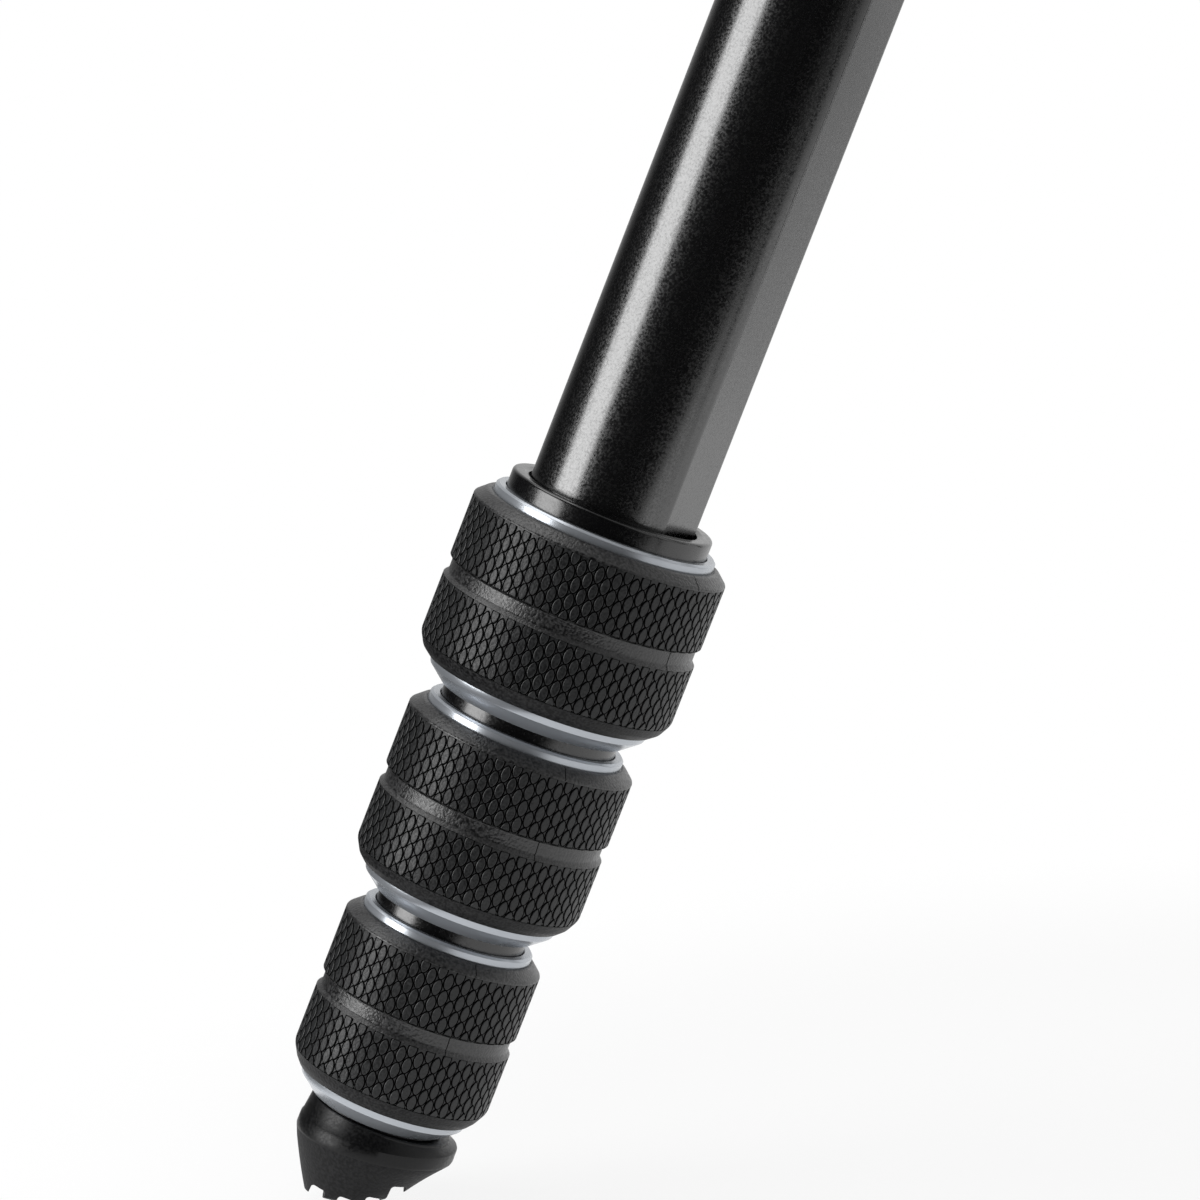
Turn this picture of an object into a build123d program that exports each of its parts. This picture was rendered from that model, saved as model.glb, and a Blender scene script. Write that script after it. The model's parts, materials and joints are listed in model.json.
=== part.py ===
"""A travel video tripod: three four-section legs with twist-lock collars, a centre column and a fluid head.

Millimetres. The origin is on the floor under the column, +Z is up, and leg 1's foot points to -X.
A leg is drawn once, hanging down -Z from its hinge at (0, 0, 0), with the outside of the leg towards +X.
The crown, the column and the head are drawn from the height of the leg hinges.
"""

import math
import os

from build123d import *

# Fits
RUNNING = 0.1
FREE = 0.3
OVERRUN = 5.0

# Stance
SPREAD_ANGLE = 21.0
LEG_AZIMUTHS = (180.0, 300.0, 60.0)
HINGE_RADIUS = 31.0

# Leg tubes
LEG_TUBE_DIAMETER = 22.5
TUBE_WALL = 1.2
TUBE_GAP = 0.55
FLAT_DEPTH = 1.15
FLAT_AZIMUTH = 153.0
TUBE_SHOWN = 223.0
TUBE_TOP_GAP = 5.0
TUBE_COUNT = 4

# Guide bushes and collets
GUIDE_LENGTH = 25.0
COLLET_LENGTH = 6.0
COLLET_TOP_INSET = 1.0
COLLET_END_INSET = 2.2
COLLET_SLIT = 0.8
COLLET_SLITS = 4

# Ferrules and twist-lock collars, with heights measured down from the ferrule's top
FERRULE_WALL = 2.5
FERRULE_LENGTH = 15.0
FERRULE_ROUND = 0.5
SLEEVE_WALL = 1.25
SLEEVE_TOP = 2.4
RING_INSET = 0.3
RING_HEIGHT = 0.9
CONE_TOP = 26.9
CONE_BREAK = 0.9
CONE_BREAK_INSET = 0.45
SLEEVE_END = 29.4
SLEEVE_EDGE = 0.3
COLLAR_NEST = 0.9
GRIP_1_DIAMETER = 34.7
GRIP_2_DIAMETER = 30.9
GRIP_3_DIAMETER = 27.0
GRIP_TOP_CHAMFER = 1.8
GRIP_GROOVE_MIDDLE = 14.8
GRIP_GROOVE_WIDTH = 2.6
GRIP_GROOVE_DEPTH = 0.55
GRIP_END_CHAMFER = 2.9
GRIP_END_ROUND = 1.2
GRIP_END_SHOULDER = 0.6

# Knuckle at the top of a leg
KNUCKLE_RADIUS = 12.5
KNUCKLE_TOP = 14.0
KNUCKLE_LENGTH = 30.0
KNUCKLE_CHAMFER = 2.0
SOCKET_DEPTH = 11.0
TONGUE_WIDTH = 12.0
TONGUE_RADIUS = 10.0
PIN_RADIUS = 3.0
PIN_CLEARANCE = 0.05
PIN_HEAD_RADIUS = 5.0
PIN_HEAD_HEIGHT = 1.6
PIN_HEX = 1.5
PIN_HEX_DEPTH = 1.0

# Angle latch, across the knuckle's tongue
LATCH_WIDTH = 8.0
LATCH_THICKNESS = 2.6
LATCH_HEIGHT = 5.4
LATCH_INNER_END = 5.0
LATCH_SLOT_END = 6.0
LATCH_TAB_START = 11.5
LATCH_TAB_DEPTH = 4.0
LATCH_TAB_WIDTH = 14.0
LATCH_TAB_HEIGHT = 8.0
LATCH_ROUND = 1.2

# Foot, with heights measured down from where a fourth ferrule would start, and shifts inwards off the leg
FOOT_NECK_RADIUS = 9.6
FOOT_NECK_LENGTH = 0.3
FOOT_NECK_SHIFT = 0.7
FOOT_RIDGE_RADIUS = 10.6
FOOT_RIDGE_HEIGHT = 2.0
FOOT_RIDGE_DROP = 5.0
FOOT_RIDGE_SHIFT = 1.1
FOOT_RIDGE_TILT = 6.5
FOOT_TREAD_DROP = 11.4
FOOT_TREAD_SHIFT = 1.1
FOOT_TREAD_RADIUS = 7.0
FOOT_DOME_RADIUS = 14.5
FOOT_SOCKET_DEPTH = 8.0
FOOT_NOTCHES = 4
FOOT_NOTCH_START = 5.5
FOOT_NOTCH_PITCH = 3.2
FOOT_NOTCH_WIDTH = 1.4
FOOT_NOTCH_DEPTH = 1.1

# Crown
CROWN_RADIUS = 17.0
CROWN_BOTTOM = 14.0
CROWN_TOP = 12.0
CROWN_CHAMFER = 1.0
LUG_THICKNESS = 5.0
LEVEL_AZIMUTH = 240.0
LEVEL_RADIUS_OUT = 24.0
LEVEL_BOSS_RADIUS = 7.0
LEVEL_BOSS_BOTTOM = 2.0
LEVEL_BOSS_TOP = 10.0
LEVEL_RADIUS = 5.5
LEVEL_DEPTH = 5.0
LEVEL_RIM = 0.8

# Column
COLUMN_DIAMETER = 22.0
COLUMN_WALL = 1.5
COLUMN_DROP = 245.0
COLUMN_LOCK_DIAMETER = 37.0
HEAD_PLATE_GAP = 1.0
HEAD_PLATE_RADIUS = 20.0
HEAD_PLATE_HEIGHT = 6.0
HEAD_PLATE_SPIGOT = 12.0
HEAD_PAD_HEIGHT = 0.8
HEAD_PAD_INNER_RADIUS = 8.0
STUD_RADIUS = 4.7
STUD_LENGTH = 8.0
CAP_RADIUS = 11.5
CAP_HEIGHT = 5.0
CAP_SPIGOT = 8.0
EYE_RADIUS = 8.0
EYE_HOLE_RADIUS = 4.5
EYE_THICKNESS = 3.0
EYE_DROP = 6.0

# Pan
PAN_RADIUS = 22.0
PAN_BASE_HEIGHT = 10.0
PAN_BODY_HEIGHT = 12.0
PAN_SPINDLE_RADIUS = 8.0
PAN_SPINDLE_HEIGHT = 8.0
PAN_CHAMFER = 1.0
PAN_BLOCK_LENGTH = 30.0
PAN_BLOCK_WIDTH = 26.0
PAN_KNOB_AZIMUTH = 250.0
PAN_KNOB_RADIUS = 8.0
PAN_KNOB_LENGTH = 14.0
PAN_STUD_RADIUS = 3.0
PAN_STUD_LENGTH = 8.0
PAN_STUD_ROOT = 12.0

# Tilt
TILT_HEIGHT = 30.0
DRUM_RADIUS = 16.0
DRUM_WIDTH = 33.0
CHEEK_THICKNESS = 5.0
CHEEK_RADIUS = 15.0
TILT_SHAFT_RADIUS = 6.0
TILT_STUD_RADIUS = 4.0
TILT_STUD_LENGTH = 9.0
TILT_KNOB_RADIUS = 12.5
TILT_KNOB_LENGTH = 15.0
KNOB_FLUTES = 12
KNOB_FLUTE_RADIUS = 1.3
KNOB_CHAMFER = 1.0

# Platform, quick-release plate and camera screw
PLATFORM_LENGTH = 56.0
PLATFORM_BOTTOM = 19.0
PLATFORM_THICKNESS = 8.0
RAIL_HEIGHT = 5.5
RAIL_TOP_WIDTH = 3.5
RAIL_SLOPE = 2.5
PLATE_LENGTH = 50.0
PLATE_DECK_HEIGHT = 4.5
PLATE_DECK_CHAMFER = 0.8
PAD_WIDTH = 9.0
PAD_HEIGHT = 0.8
PAD_MARGIN = 2.5
SCREW_RADIUS = 3.175
SCREW_NECK_RADIUS = 2.5
SCREW_STANDS = 5.5
SCREW_HEAD_RADIUS = 7.5
SCREW_HEAD_HEIGHT = 3.2
SCREW_SLOT_LENGTH = 16.0
SCREW_COIN_SLOT = 1.4
SCREW_COIN_DEPTH = 1.2

# Plate lock lever
LEVER_PIVOT_X = -14.0
LEVER_PIVOT_OUT = 6.5
LEVER_BOSS_RADIUS = 6.0
LEVER_SHELF_HEIGHT = 4.0
LEVER_HEIGHT = 5.5
LEVER_PIN_RADIUS = 2.5
LEVER_PIN_STANDS = 1.5
LEVER_ARM_LENGTH = 32.0
LEVER_ARM_WIDTH = 5.0
LEVER_ARM_HEIGHT = 4.0

# Pan bar
BAR_PIVOT_X = 14.0
BAR_PIVOT_Z = 8.0
BAR_BOSS_HEIGHT = 2.0
BAR_CLAMP_RADIUS = 9.0
BAR_CLAMP_WIDTH = 10.0
BAR_BOLT_RADIUS = 3.0
BAR_DROOP = 25.0
BAR_RADIUS = 4.5
BAR_LENGTH = 168.0
BAR_GRIP_RADIUS = 11.0
BAR_GRIP_LENGTH = 95.0
BAR_GRIP_DEPTH = 90.0
BAR_GRIP_RIBS = 9
BAR_GRIP_RIB_WIDTH = 2.0
BAR_GRIP_RIB_DEPTH = 0.8
BAR_KNOB_RADIUS = 9.0
BAR_KNOB_LENGTH = 12.0

# Worked out from the sizes above
LEG_TUBE_RADII = tuple(
    LEG_TUBE_DIAMETER / 2 - stage * (TUBE_WALL + TUBE_GAP) for stage in range(TUBE_COUNT)
)
GRIP_DIAMETERS = (GRIP_1_DIAMETER, GRIP_2_DIAMETER, GRIP_3_DIAMETER)
FERRULE_TOP_Z = -(KNUCKLE_LENGTH + TUBE_SHOWN)
COLLAR_PITCH = SLEEVE_END - COLLAR_NEST
INNER_TUBE_TOP_Z = -KNUCKLE_LENGTH + SOCKET_DEPTH - TUBE_TOP_GAP
FOOT_Z = FERRULE_TOP_Z - (TUBE_COUNT - 1) * COLLAR_PITCH
TREAD_Z = FOOT_Z - FOOT_TREAD_DROP
DOME_HEIGHT = FOOT_DOME_RADIUS - math.sqrt(FOOT_DOME_RADIUS**2 - FOOT_TREAD_RADIUS**2)
SPREAD = math.radians(SPREAD_ANGLE)
HINGE_HEIGHT = DOME_HEIGHT - TREAD_Z * math.cos(SPREAD) + FOOT_TREAD_SHIFT * math.sin(SPREAD)
COLUMN_RADIUS = COLUMN_DIAMETER / 2
HEAD_PLATE_Z = CROWN_TOP + SLEEVE_END + HEAD_PLATE_GAP
PAN_Z = HEAD_PLATE_Z + HEAD_PLATE_HEIGHT + HEAD_PAD_HEIGHT
PAN_BODY_Z = PAN_Z + PAN_BASE_HEIGHT + FREE
TILT_Z = PAN_BODY_Z + PAN_BODY_HEIGHT + TILT_HEIGHT
CHEEK_INNER = DRUM_WIDTH / 2 + FREE
CHEEK_OUTER = CHEEK_INNER + CHEEK_THICKNESS
DECK_Z = TILT_Z + PLATFORM_BOTTOM + PLATFORM_THICKNESS
PLATE_TOP_Z = DECK_Z + RAIL_HEIGHT + FREE + PLATE_DECK_HEIGHT
PAD_TOP_Z = PLATE_TOP_Z + PAD_HEIGHT
BAR_CLAMP_Y = CHEEK_OUTER + BAR_BOSS_HEIGHT + FREE
BAR_MIDDLE_Y = BAR_CLAMP_Y + BAR_CLAMP_WIDTH / 2


def prism(outline, low, high):
    """The outline's solid between two heights."""
    return Pos(0, 0, low) * extrude(outline, high - low)


def ring(outer_radius, inner_radius, low, high):
    """A plain ring about Z between two heights."""
    return prism(Circle(outer_radius) - Circle(inner_radius), low, high)


def turned(points):
    """The solid turned about Z from a closed outline of (radius, height) points."""
    outline = make_face(Polyline(*points, close=True))
    return revolve(Plane.XZ * outline, Axis.Z)


def across(outline, near, far):
    """The solid of an outline drawn in X and Z, between two places along Y."""
    return Pos(0, far, 0) * extrude(Plane.XZ * outline, far - near)


def fluted_knob(radius, length, bore_radius, bore_depth):
    """A clamp knob that stands on Z=0, with flutes round its rim and a blind bore from below."""
    knob = turned(
        [
            (0, 0),
            (radius - KNOB_CHAMFER, 0),
            (radius, KNOB_CHAMFER),
            (radius, length - KNOB_CHAMFER),
            (radius - KNOB_CHAMFER, length),
            (0, length),
        ]
    )
    for flute in range(KNOB_FLUTES):
        turn = Rot(0, 0, flute * 360 / KNOB_FLUTES)
        knob -= turn * Pos(radius, 0, 0) * prism(Circle(KNOB_FLUTE_RADIUS), -OVERRUN, length + OVERRUN)
    return knob - prism(Circle(bore_radius), -OVERRUN, bore_depth)


def tube_outline(stage, inset):
    """A leg tube's outline with its two flats, moved inwards by an inset."""
    radius = LEG_TUBE_RADII[stage] - inset
    flats = Rectangle(2 * (radius + OVERRUN), 2 * (radius - FLAT_DEPTH))
    return Rot(0, 0, FLAT_AZIMUTH - 90) * (Circle(radius) & flats)


def ferrule_radius(tube_radius):
    """The outside radius of the threaded end piece on a tube."""
    return tube_radius + FERRULE_WALL


def sleeve_radius(tube_radius):
    """The radius on which a collar's rubber grip sits."""
    return ferrule_radius(tube_radius) + RUNNING + SLEEVE_WALL


def tube_end_z(stage):
    """The height of a leg tube's lower end."""
    top_of_end_piece = FERRULE_TOP_Z - stage * COLLAR_PITCH
    if stage == TUBE_COUNT - 1:
        return top_of_end_piece - FOOT_SOCKET_DEPTH
    return top_of_end_piece - FERRULE_LENGTH


def tube_top_z(stage):
    """The height of a leg tube's upper end."""
    if stage == 0:
        return -KNUCKLE_LENGTH + SOCKET_DEPTH
    return INNER_TUBE_TOP_Z


def ferrule(tube_radius):
    """The end piece bonded to a tube, from Z=0 down, with a rounded rim."""
    outer = ferrule_radius(tube_radius)
    blank = ring(outer, tube_radius, -FERRULE_LENGTH, 0)
    rim = blank.edges().filter_by(GeomType.CIRCLE).group_by(Axis.Z)[-1].sort_by(SortBy.RADIUS)[-1]
    return fillet(rim, FERRULE_ROUND)


def collet(tube_radius, bore):
    """The split plastic ring under a ferrule, from Z=0 down, round the bore's outline."""
    outer = ferrule_radius(tube_radius)
    blank = turned(
        [
            (0, 0),
            (outer - COLLET_TOP_INSET, 0),
            (outer - COLLET_END_INSET, -COLLET_LENGTH),
            (0, -COLLET_LENGTH),
        ]
    )
    blank -= prism(bore, -COLLET_LENGTH - OVERRUN, OVERRUN)
    slit = Pos(outer, 0, -COLLET_LENGTH) * Box(2 * outer, COLLET_SLIT, COLLET_LENGTH)
    for index in range(COLLET_SLITS):
        blank -= Rot(0, 0, (index + 0.5) * 360 / COLLET_SLITS) * slit
    return blank


def guide_bush(stage):
    """The plastic bush on an inner tube's upper end, which guides it in the tube outside it."""
    outer = tube_outline(stage - 1, TUBE_WALL + RUNNING)
    top = tube_top_z(stage)
    return prism(outer - tube_outline(stage, 0), top - GUIDE_LENGTH, top)


def leg_tube(stage):
    """A leg tube with the pieces that are fixed to it."""
    outline = tube_outline(stage, 0) - tube_outline(stage, TUBE_WALL)
    pieces = [prism(outline, tube_end_z(stage), tube_top_z(stage))]
    if stage > 0:
        pieces.append(guide_bush(stage))
    if stage < TUBE_COUNT - 1:
        tube_radius = LEG_TUBE_RADII[stage]
        top = FERRULE_TOP_Z - stage * COLLAR_PITCH
        pieces.append(Pos(0, 0, top) * ferrule(tube_radius))
        bore = tube_outline(stage + 1, -RUNNING)
        pieces.append(Pos(0, 0, top - FERRULE_LENGTH) * collet(tube_radius, bore))
    return pieces


def collar_sleeve(tube_radius, inner_radius):
    """A twist lock's metal sleeve about a ferrule whose top is Z=0, with its ring and its cone."""
    outer = sleeve_radius(tube_radius)
    bore = ferrule_radius(tube_radius) + RUNNING
    nest = ferrule_radius(inner_radius) + FREE
    passage = inner_radius + FREE
    shoulder = FERRULE_LENGTH + COLLET_LENGTH + FREE
    nest_top = SLEEVE_END - COLLAR_NEST - FREE
    return turned(
        [
            (bore, -SLEEVE_TOP),
            (outer - RING_INSET, -SLEEVE_TOP),
            (outer - RING_INSET, -SLEEVE_TOP - RING_HEIGHT),
            (outer, -SLEEVE_TOP - RING_HEIGHT),
            (outer, -CONE_TOP),
            (outer - CONE_BREAK_INSET, -CONE_TOP - CONE_BREAK),
            (nest + SLEEVE_EDGE, -SLEEVE_END),
            (nest, -SLEEVE_END),
            (nest, -nest_top),
            (passage, -nest_top),
            (passage, -shoulder),
            (bore, -shoulder),
        ]
    )


def collar_grip(tube_radius, diameter):
    """A twist lock's rubber grip about a ferrule whose top is Z=0, with its middle groove."""
    seat = sleeve_radius(tube_radius)
    outer = diameter / 2
    top = -SLEEVE_TOP - RING_HEIGHT
    end = -CONE_TOP
    groove_top = -GRIP_GROOVE_MIDDLE + GRIP_GROOVE_WIDTH / 2
    groove_end = -GRIP_GROOVE_MIDDLE - GRIP_GROOVE_WIDTH / 2
    return turned(
        [
            (seat, top),
            (outer, top - GRIP_TOP_CHAMFER),
            (outer, groove_top),
            (outer - GRIP_GROOVE_DEPTH, groove_top - GRIP_GROOVE_DEPTH),
            (outer - GRIP_GROOVE_DEPTH, groove_end + GRIP_GROOVE_DEPTH),
            (outer, groove_end),
            (outer, end + GRIP_END_CHAMFER),
            (outer - GRIP_END_SHOULDER, end + GRIP_END_CHAMFER - GRIP_END_ROUND),
            (seat, end),
        ]
    )


def knuckle():
    """The leg's top casting: a tongue round the hinge pin and a socket for tube 1."""
    tongue_side = Pos(0, -KNUCKLE_TOP / 2) * Rectangle(2 * TONGUE_RADIUS, KNUCKLE_TOP)
    tongue = across(Circle(TONGUE_RADIUS) + tongue_side, -TONGUE_WIDTH / 2, TONGUE_WIDTH / 2)
    body = turned(
        [
            (0, -KNUCKLE_TOP),
            (KNUCKLE_RADIUS - KNUCKLE_CHAMFER, -KNUCKLE_TOP),
            (KNUCKLE_RADIUS, -KNUCKLE_TOP - KNUCKLE_CHAMFER),
            (KNUCKLE_RADIUS, -KNUCKLE_LENGTH),
            (0, -KNUCKLE_LENGTH),
        ]
    )
    socket = prism(tube_outline(0, 0), -KNUCKLE_LENGTH - OVERRUN, -KNUCKLE_LENGTH + SOCKET_DEPTH)
    pin_hole = across(Circle(PIN_RADIUS + PIN_CLEARANCE), -TONGUE_WIDTH, TONGUE_WIDTH)
    slot_length = LATCH_SLOT_END + LATCH_TAB_START
    slot = Pos(LATCH_TAB_START - slot_length / 2, 0, LATCH_HEIGHT) * Box(
        slot_length, LATCH_WIDTH + 2 * FREE, LATCH_THICKNESS + 2 * FREE
    )
    return tongue + body - socket - pin_hole - slot


def angle_latch():
    """The tab that is pulled out of the knuckle to let the leg spread wide."""
    plate_length = LATCH_INNER_END + LATCH_TAB_START
    plate = Pos(LATCH_TAB_START - plate_length / 2, 0, LATCH_HEIGHT) * Box(
        plate_length, LATCH_WIDTH, LATCH_THICKNESS
    )
    tab = Box(LATCH_TAB_DEPTH, LATCH_TAB_WIDTH, LATCH_TAB_HEIGHT)
    tab = fillet(tab.edges().filter_by(Axis.X), LATCH_ROUND)
    return plate + Pos(LATCH_TAB_START + LATCH_TAB_DEPTH / 2, 0, LATCH_HEIGHT) * tab


def foot():
    """The rubber foot, whose toothed tread lies flat on the floor when the leg is spread."""
    boss_radius = ferrule_radius(LEG_TUBE_RADII[-1])
    neck_top = -COLLAR_NEST - FREE
    neck_end = neck_top - FOOT_NECK_LENGTH
    boss = prism(Circle(boss_radius), neck_top, 0)
    neck = Pos(-FOOT_NECK_SHIFT, 0, 0) * prism(Circle(FOOT_NECK_RADIUS), neck_end, neck_top)
    neck_plane = Plane((-FOOT_NECK_SHIFT, 0, neck_end))
    ridge_plane = Plane((-FOOT_RIDGE_SHIFT, 0, -FOOT_RIDGE_DROP)).rotated((0, FOOT_RIDGE_TILT, 0))
    tread_plane = Plane((-FOOT_TREAD_SHIFT, 0, -FOOT_TREAD_DROP)).rotated((0, SPREAD_ANGLE, 0))
    ridge_outline = Circle(FOOT_RIDGE_RADIUS)
    ridge = Location(ridge_plane) * prism(ridge_outline, 0, FOOT_RIDGE_HEIGHT)
    ridge_top_plane = ridge_plane.offset(FOOT_RIDGE_HEIGHT)
    flare = loft([neck_plane * Circle(FOOT_NECK_RADIUS), ridge_top_plane * ridge_outline])
    cone = loft([ridge_plane * ridge_outline, tread_plane * Circle(FOOT_TREAD_RADIUS)])
    ball_drop = FOOT_DOME_RADIUS - DOME_HEIGHT
    ball = Pos(0, 0, ball_drop) * Sphere(FOOT_DOME_RADIUS)
    tread = ball & prism(Circle(FOOT_TREAD_RADIUS), -FOOT_DOME_RADIUS, 0)
    tread_place = Location(tread_plane)
    body = boss + neck + flare + ridge + cone + tread_place * tread
    notch_length = 2 * (FOOT_TREAD_RADIUS + OVERRUN)
    notch = Rot(0, -SPREAD_ANGLE, 0) * Box(FOOT_NOTCH_WIDTH, notch_length, 2 * FOOT_NOTCH_DEPTH)
    for index in range(FOOT_NOTCHES):
        offset = index * FOOT_NOTCH_PITCH - FOOT_NOTCH_START
        rise = FOOT_DOME_RADIUS - math.sqrt(FOOT_DOME_RADIUS**2 - offset**2) - DOME_HEIGHT
        body -= tread_place * Pos(offset, 0, rise) * notch
    body -= prism(tube_outline(TUBE_COUNT - 1, 0), -FOOT_SOCKET_DEPTH, OVERRUN)
    return Pos(0, 0, FOOT_Z) * body


def hinge_pin():
    """A leg's hinge pin with its two heads, along Y."""
    half_width = TONGUE_WIDTH / 2 + FREE + LUG_THICKNESS
    shaft = across(Circle(PIN_RADIUS), -half_width, half_width)
    head = across(Circle(PIN_HEAD_RADIUS), half_width, half_width + PIN_HEAD_HEIGHT)
    end = half_width + PIN_HEAD_HEIGHT
    head -= across(RegularPolygon(PIN_HEX, 6), end - PIN_HEX_DEPTH, end + OVERRUN)
    return shaft + head + Rot(0, 0, 180) * head


def leg_place(azimuth):
    """Where a leg that was drawn at its own hinge stands in the tripod."""
    hinge = Pos(HINGE_RADIUS, 0, HINGE_HEIGHT)
    return Rot(0, 0, azimuth) * hinge * Rot(0, -SPREAD_ANGLE, 0)


def crown_lugs():
    """One fork of the crown, towards +X: two lugs with the pin's hole."""
    arm = Pos(HINGE_RADIUS / 2, 0) * Rectangle(HINGE_RADIUS, 2 * TONGUE_RADIUS)
    outline = arm + Pos(HINGE_RADIUS, 0) * Circle(TONGUE_RADIUS) - Pos(HINGE_RADIUS, 0) * Circle(PIN_RADIUS)
    inner = TONGUE_WIDTH / 2 + FREE
    lug = across(outline, inner, inner + LUG_THICKNESS)
    return lug + mirror(lug, Plane.XZ)


def crown():
    """The hub with the legs' forks, the level's boss and the threaded neck of the column lock."""
    hub = turned(
        [
            (0, -CROWN_BOTTOM),
            (CROWN_RADIUS - CROWN_CHAMFER, -CROWN_BOTTOM),
            (CROWN_RADIUS, -CROWN_BOTTOM + CROWN_CHAMFER),
            (CROWN_RADIUS, CROWN_TOP - CROWN_CHAMFER),
            (CROWN_RADIUS - CROWN_CHAMFER, CROWN_TOP),
            (0, CROWN_TOP),
        ]
    )
    neck = prism(Circle(ferrule_radius(COLUMN_RADIUS)), CROWN_TOP, CROWN_TOP + FERRULE_LENGTH)
    body = hub + neck
    lugs = crown_lugs()
    for azimuth in LEG_AZIMUTHS:
        body += Rot(0, 0, azimuth) * lugs
    boss = Pos(LEVEL_RADIUS_OUT, 0, 0) * prism(
        Circle(LEVEL_BOSS_RADIUS), -LEVEL_BOSS_BOTTOM, LEVEL_BOSS_TOP
    )
    web = Pos(LEVEL_RADIUS_OUT / 2, 0) * Rectangle(LEVEL_RADIUS_OUT, 2 * LEVEL_BOSS_RADIUS)
    boss += prism(web, -LEVEL_BOSS_BOTTOM, LEVEL_BOSS_TOP)
    boss -= Pos(LEVEL_RADIUS_OUT, 0, 0) * prism(
        Circle(LEVEL_RADIUS), LEVEL_BOSS_TOP - LEVEL_DEPTH, LEVEL_BOSS_TOP + OVERRUN
    )
    body += Rot(0, 0, LEVEL_AZIMUTH) * boss
    body -= prism(Circle(COLUMN_RADIUS + RUNNING), -CROWN_BOTTOM - OVERRUN, CROWN_TOP + SLEEVE_END)
    bore = Circle(COLUMN_RADIUS + RUNNING)
    split_ring = Rot(180, 0, 0) * collet(COLUMN_RADIUS, bore)
    return [body, Pos(0, 0, CROWN_TOP + FERRULE_LENGTH) * split_ring]


def bubble_level():
    """The round level in the crown's boss, with a domed window."""
    middle = Rot(0, 0, LEVEL_AZIMUTH) * Pos(LEVEL_RADIUS_OUT, 0, 0)
    vial = turned(
        [
            (0, LEVEL_BOSS_TOP - LEVEL_DEPTH),
            (LEVEL_RADIUS, LEVEL_BOSS_TOP - LEVEL_DEPTH),
            (LEVEL_RADIUS, LEVEL_BOSS_TOP),
            (LEVEL_RADIUS - LEVEL_RIM, LEVEL_BOSS_TOP + LEVEL_RIM),
            (0, LEVEL_BOSS_TOP + LEVEL_RIM),
        ]
    )
    return middle * vial


def centre_column():
    """The column tube, at its lowest."""
    return ring(COLUMN_RADIUS, COLUMN_RADIUS - COLUMN_WALL, -COLUMN_DROP, HEAD_PLATE_Z)


def head_plate():
    """The plate on the column's top with the spigot in the tube, and the rubber ring on it."""
    disc = turned(
        [
            (0, HEAD_PLATE_Z),
            (HEAD_PLATE_RADIUS - PAN_CHAMFER, HEAD_PLATE_Z),
            (HEAD_PLATE_RADIUS, HEAD_PLATE_Z + PAN_CHAMFER),
            (HEAD_PLATE_RADIUS, HEAD_PLATE_Z + HEAD_PLATE_HEIGHT),
            (0, HEAD_PLATE_Z + HEAD_PLATE_HEIGHT),
        ]
    )
    spigot = prism(Circle(COLUMN_RADIUS - COLUMN_WALL), HEAD_PLATE_Z - HEAD_PLATE_SPIGOT, HEAD_PLATE_Z)
    return disc + spigot


def head_pad():
    """The rubber ring between the head plate and the pan base."""
    low = HEAD_PLATE_Z + HEAD_PLATE_HEIGHT
    return ring(HEAD_PLATE_RADIUS - PAN_CHAMFER, HEAD_PAD_INNER_RADIUS, low, low + HEAD_PAD_HEIGHT)


def head_stud():
    """The 3/8 inch stud that the pan base screws onto."""
    low = HEAD_PLATE_Z + HEAD_PLATE_HEIGHT
    return prism(Circle(STUD_RADIUS), low, low + STUD_LENGTH)


def column_cap():
    """The column's bottom cap with an eye for a ballast weight."""
    low = -COLUMN_DROP - CAP_HEIGHT
    cap = prism(Circle(CAP_RADIUS), low, -COLUMN_DROP)
    cap += prism(Circle(COLUMN_RADIUS - COLUMN_WALL), -COLUMN_DROP, -COLUMN_DROP + CAP_SPIGOT)
    stem = Pos(0, low - EYE_DROP / 2) * Rectangle(2 * EYE_RADIUS, EYE_DROP)
    loop = stem + Pos(0, low - EYE_DROP) * Circle(EYE_RADIUS)
    loop -= Pos(0, low - EYE_DROP) * Circle(EYE_HOLE_RADIUS)
    return cap + across(loop, -EYE_THICKNESS / 2, EYE_THICKNESS / 2)


def pan_base():
    """The head's fixed base, screwed to the stud, with the spindle that the head pans on."""
    top = PAN_Z + PAN_BASE_HEIGHT
    base = turned(
        [
            (0, PAN_Z),
            (HEAD_PLATE_RADIUS - PAN_CHAMFER, PAN_Z),
            (PAN_RADIUS - PAN_CHAMFER, PAN_Z + PAN_CHAMFER),
            (PAN_RADIUS - PAN_CHAMFER, top),
            (PAN_SPINDLE_RADIUS, top),
            (PAN_SPINDLE_RADIUS, top + PAN_SPINDLE_HEIGHT),
            (0, top + PAN_SPINDLE_HEIGHT),
        ]
    )
    stud_top = HEAD_PLATE_Z + HEAD_PLATE_HEIGHT + STUD_LENGTH
    return base - prism(Circle(STUD_RADIUS), PAN_Z - OVERRUN, stud_top)


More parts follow.
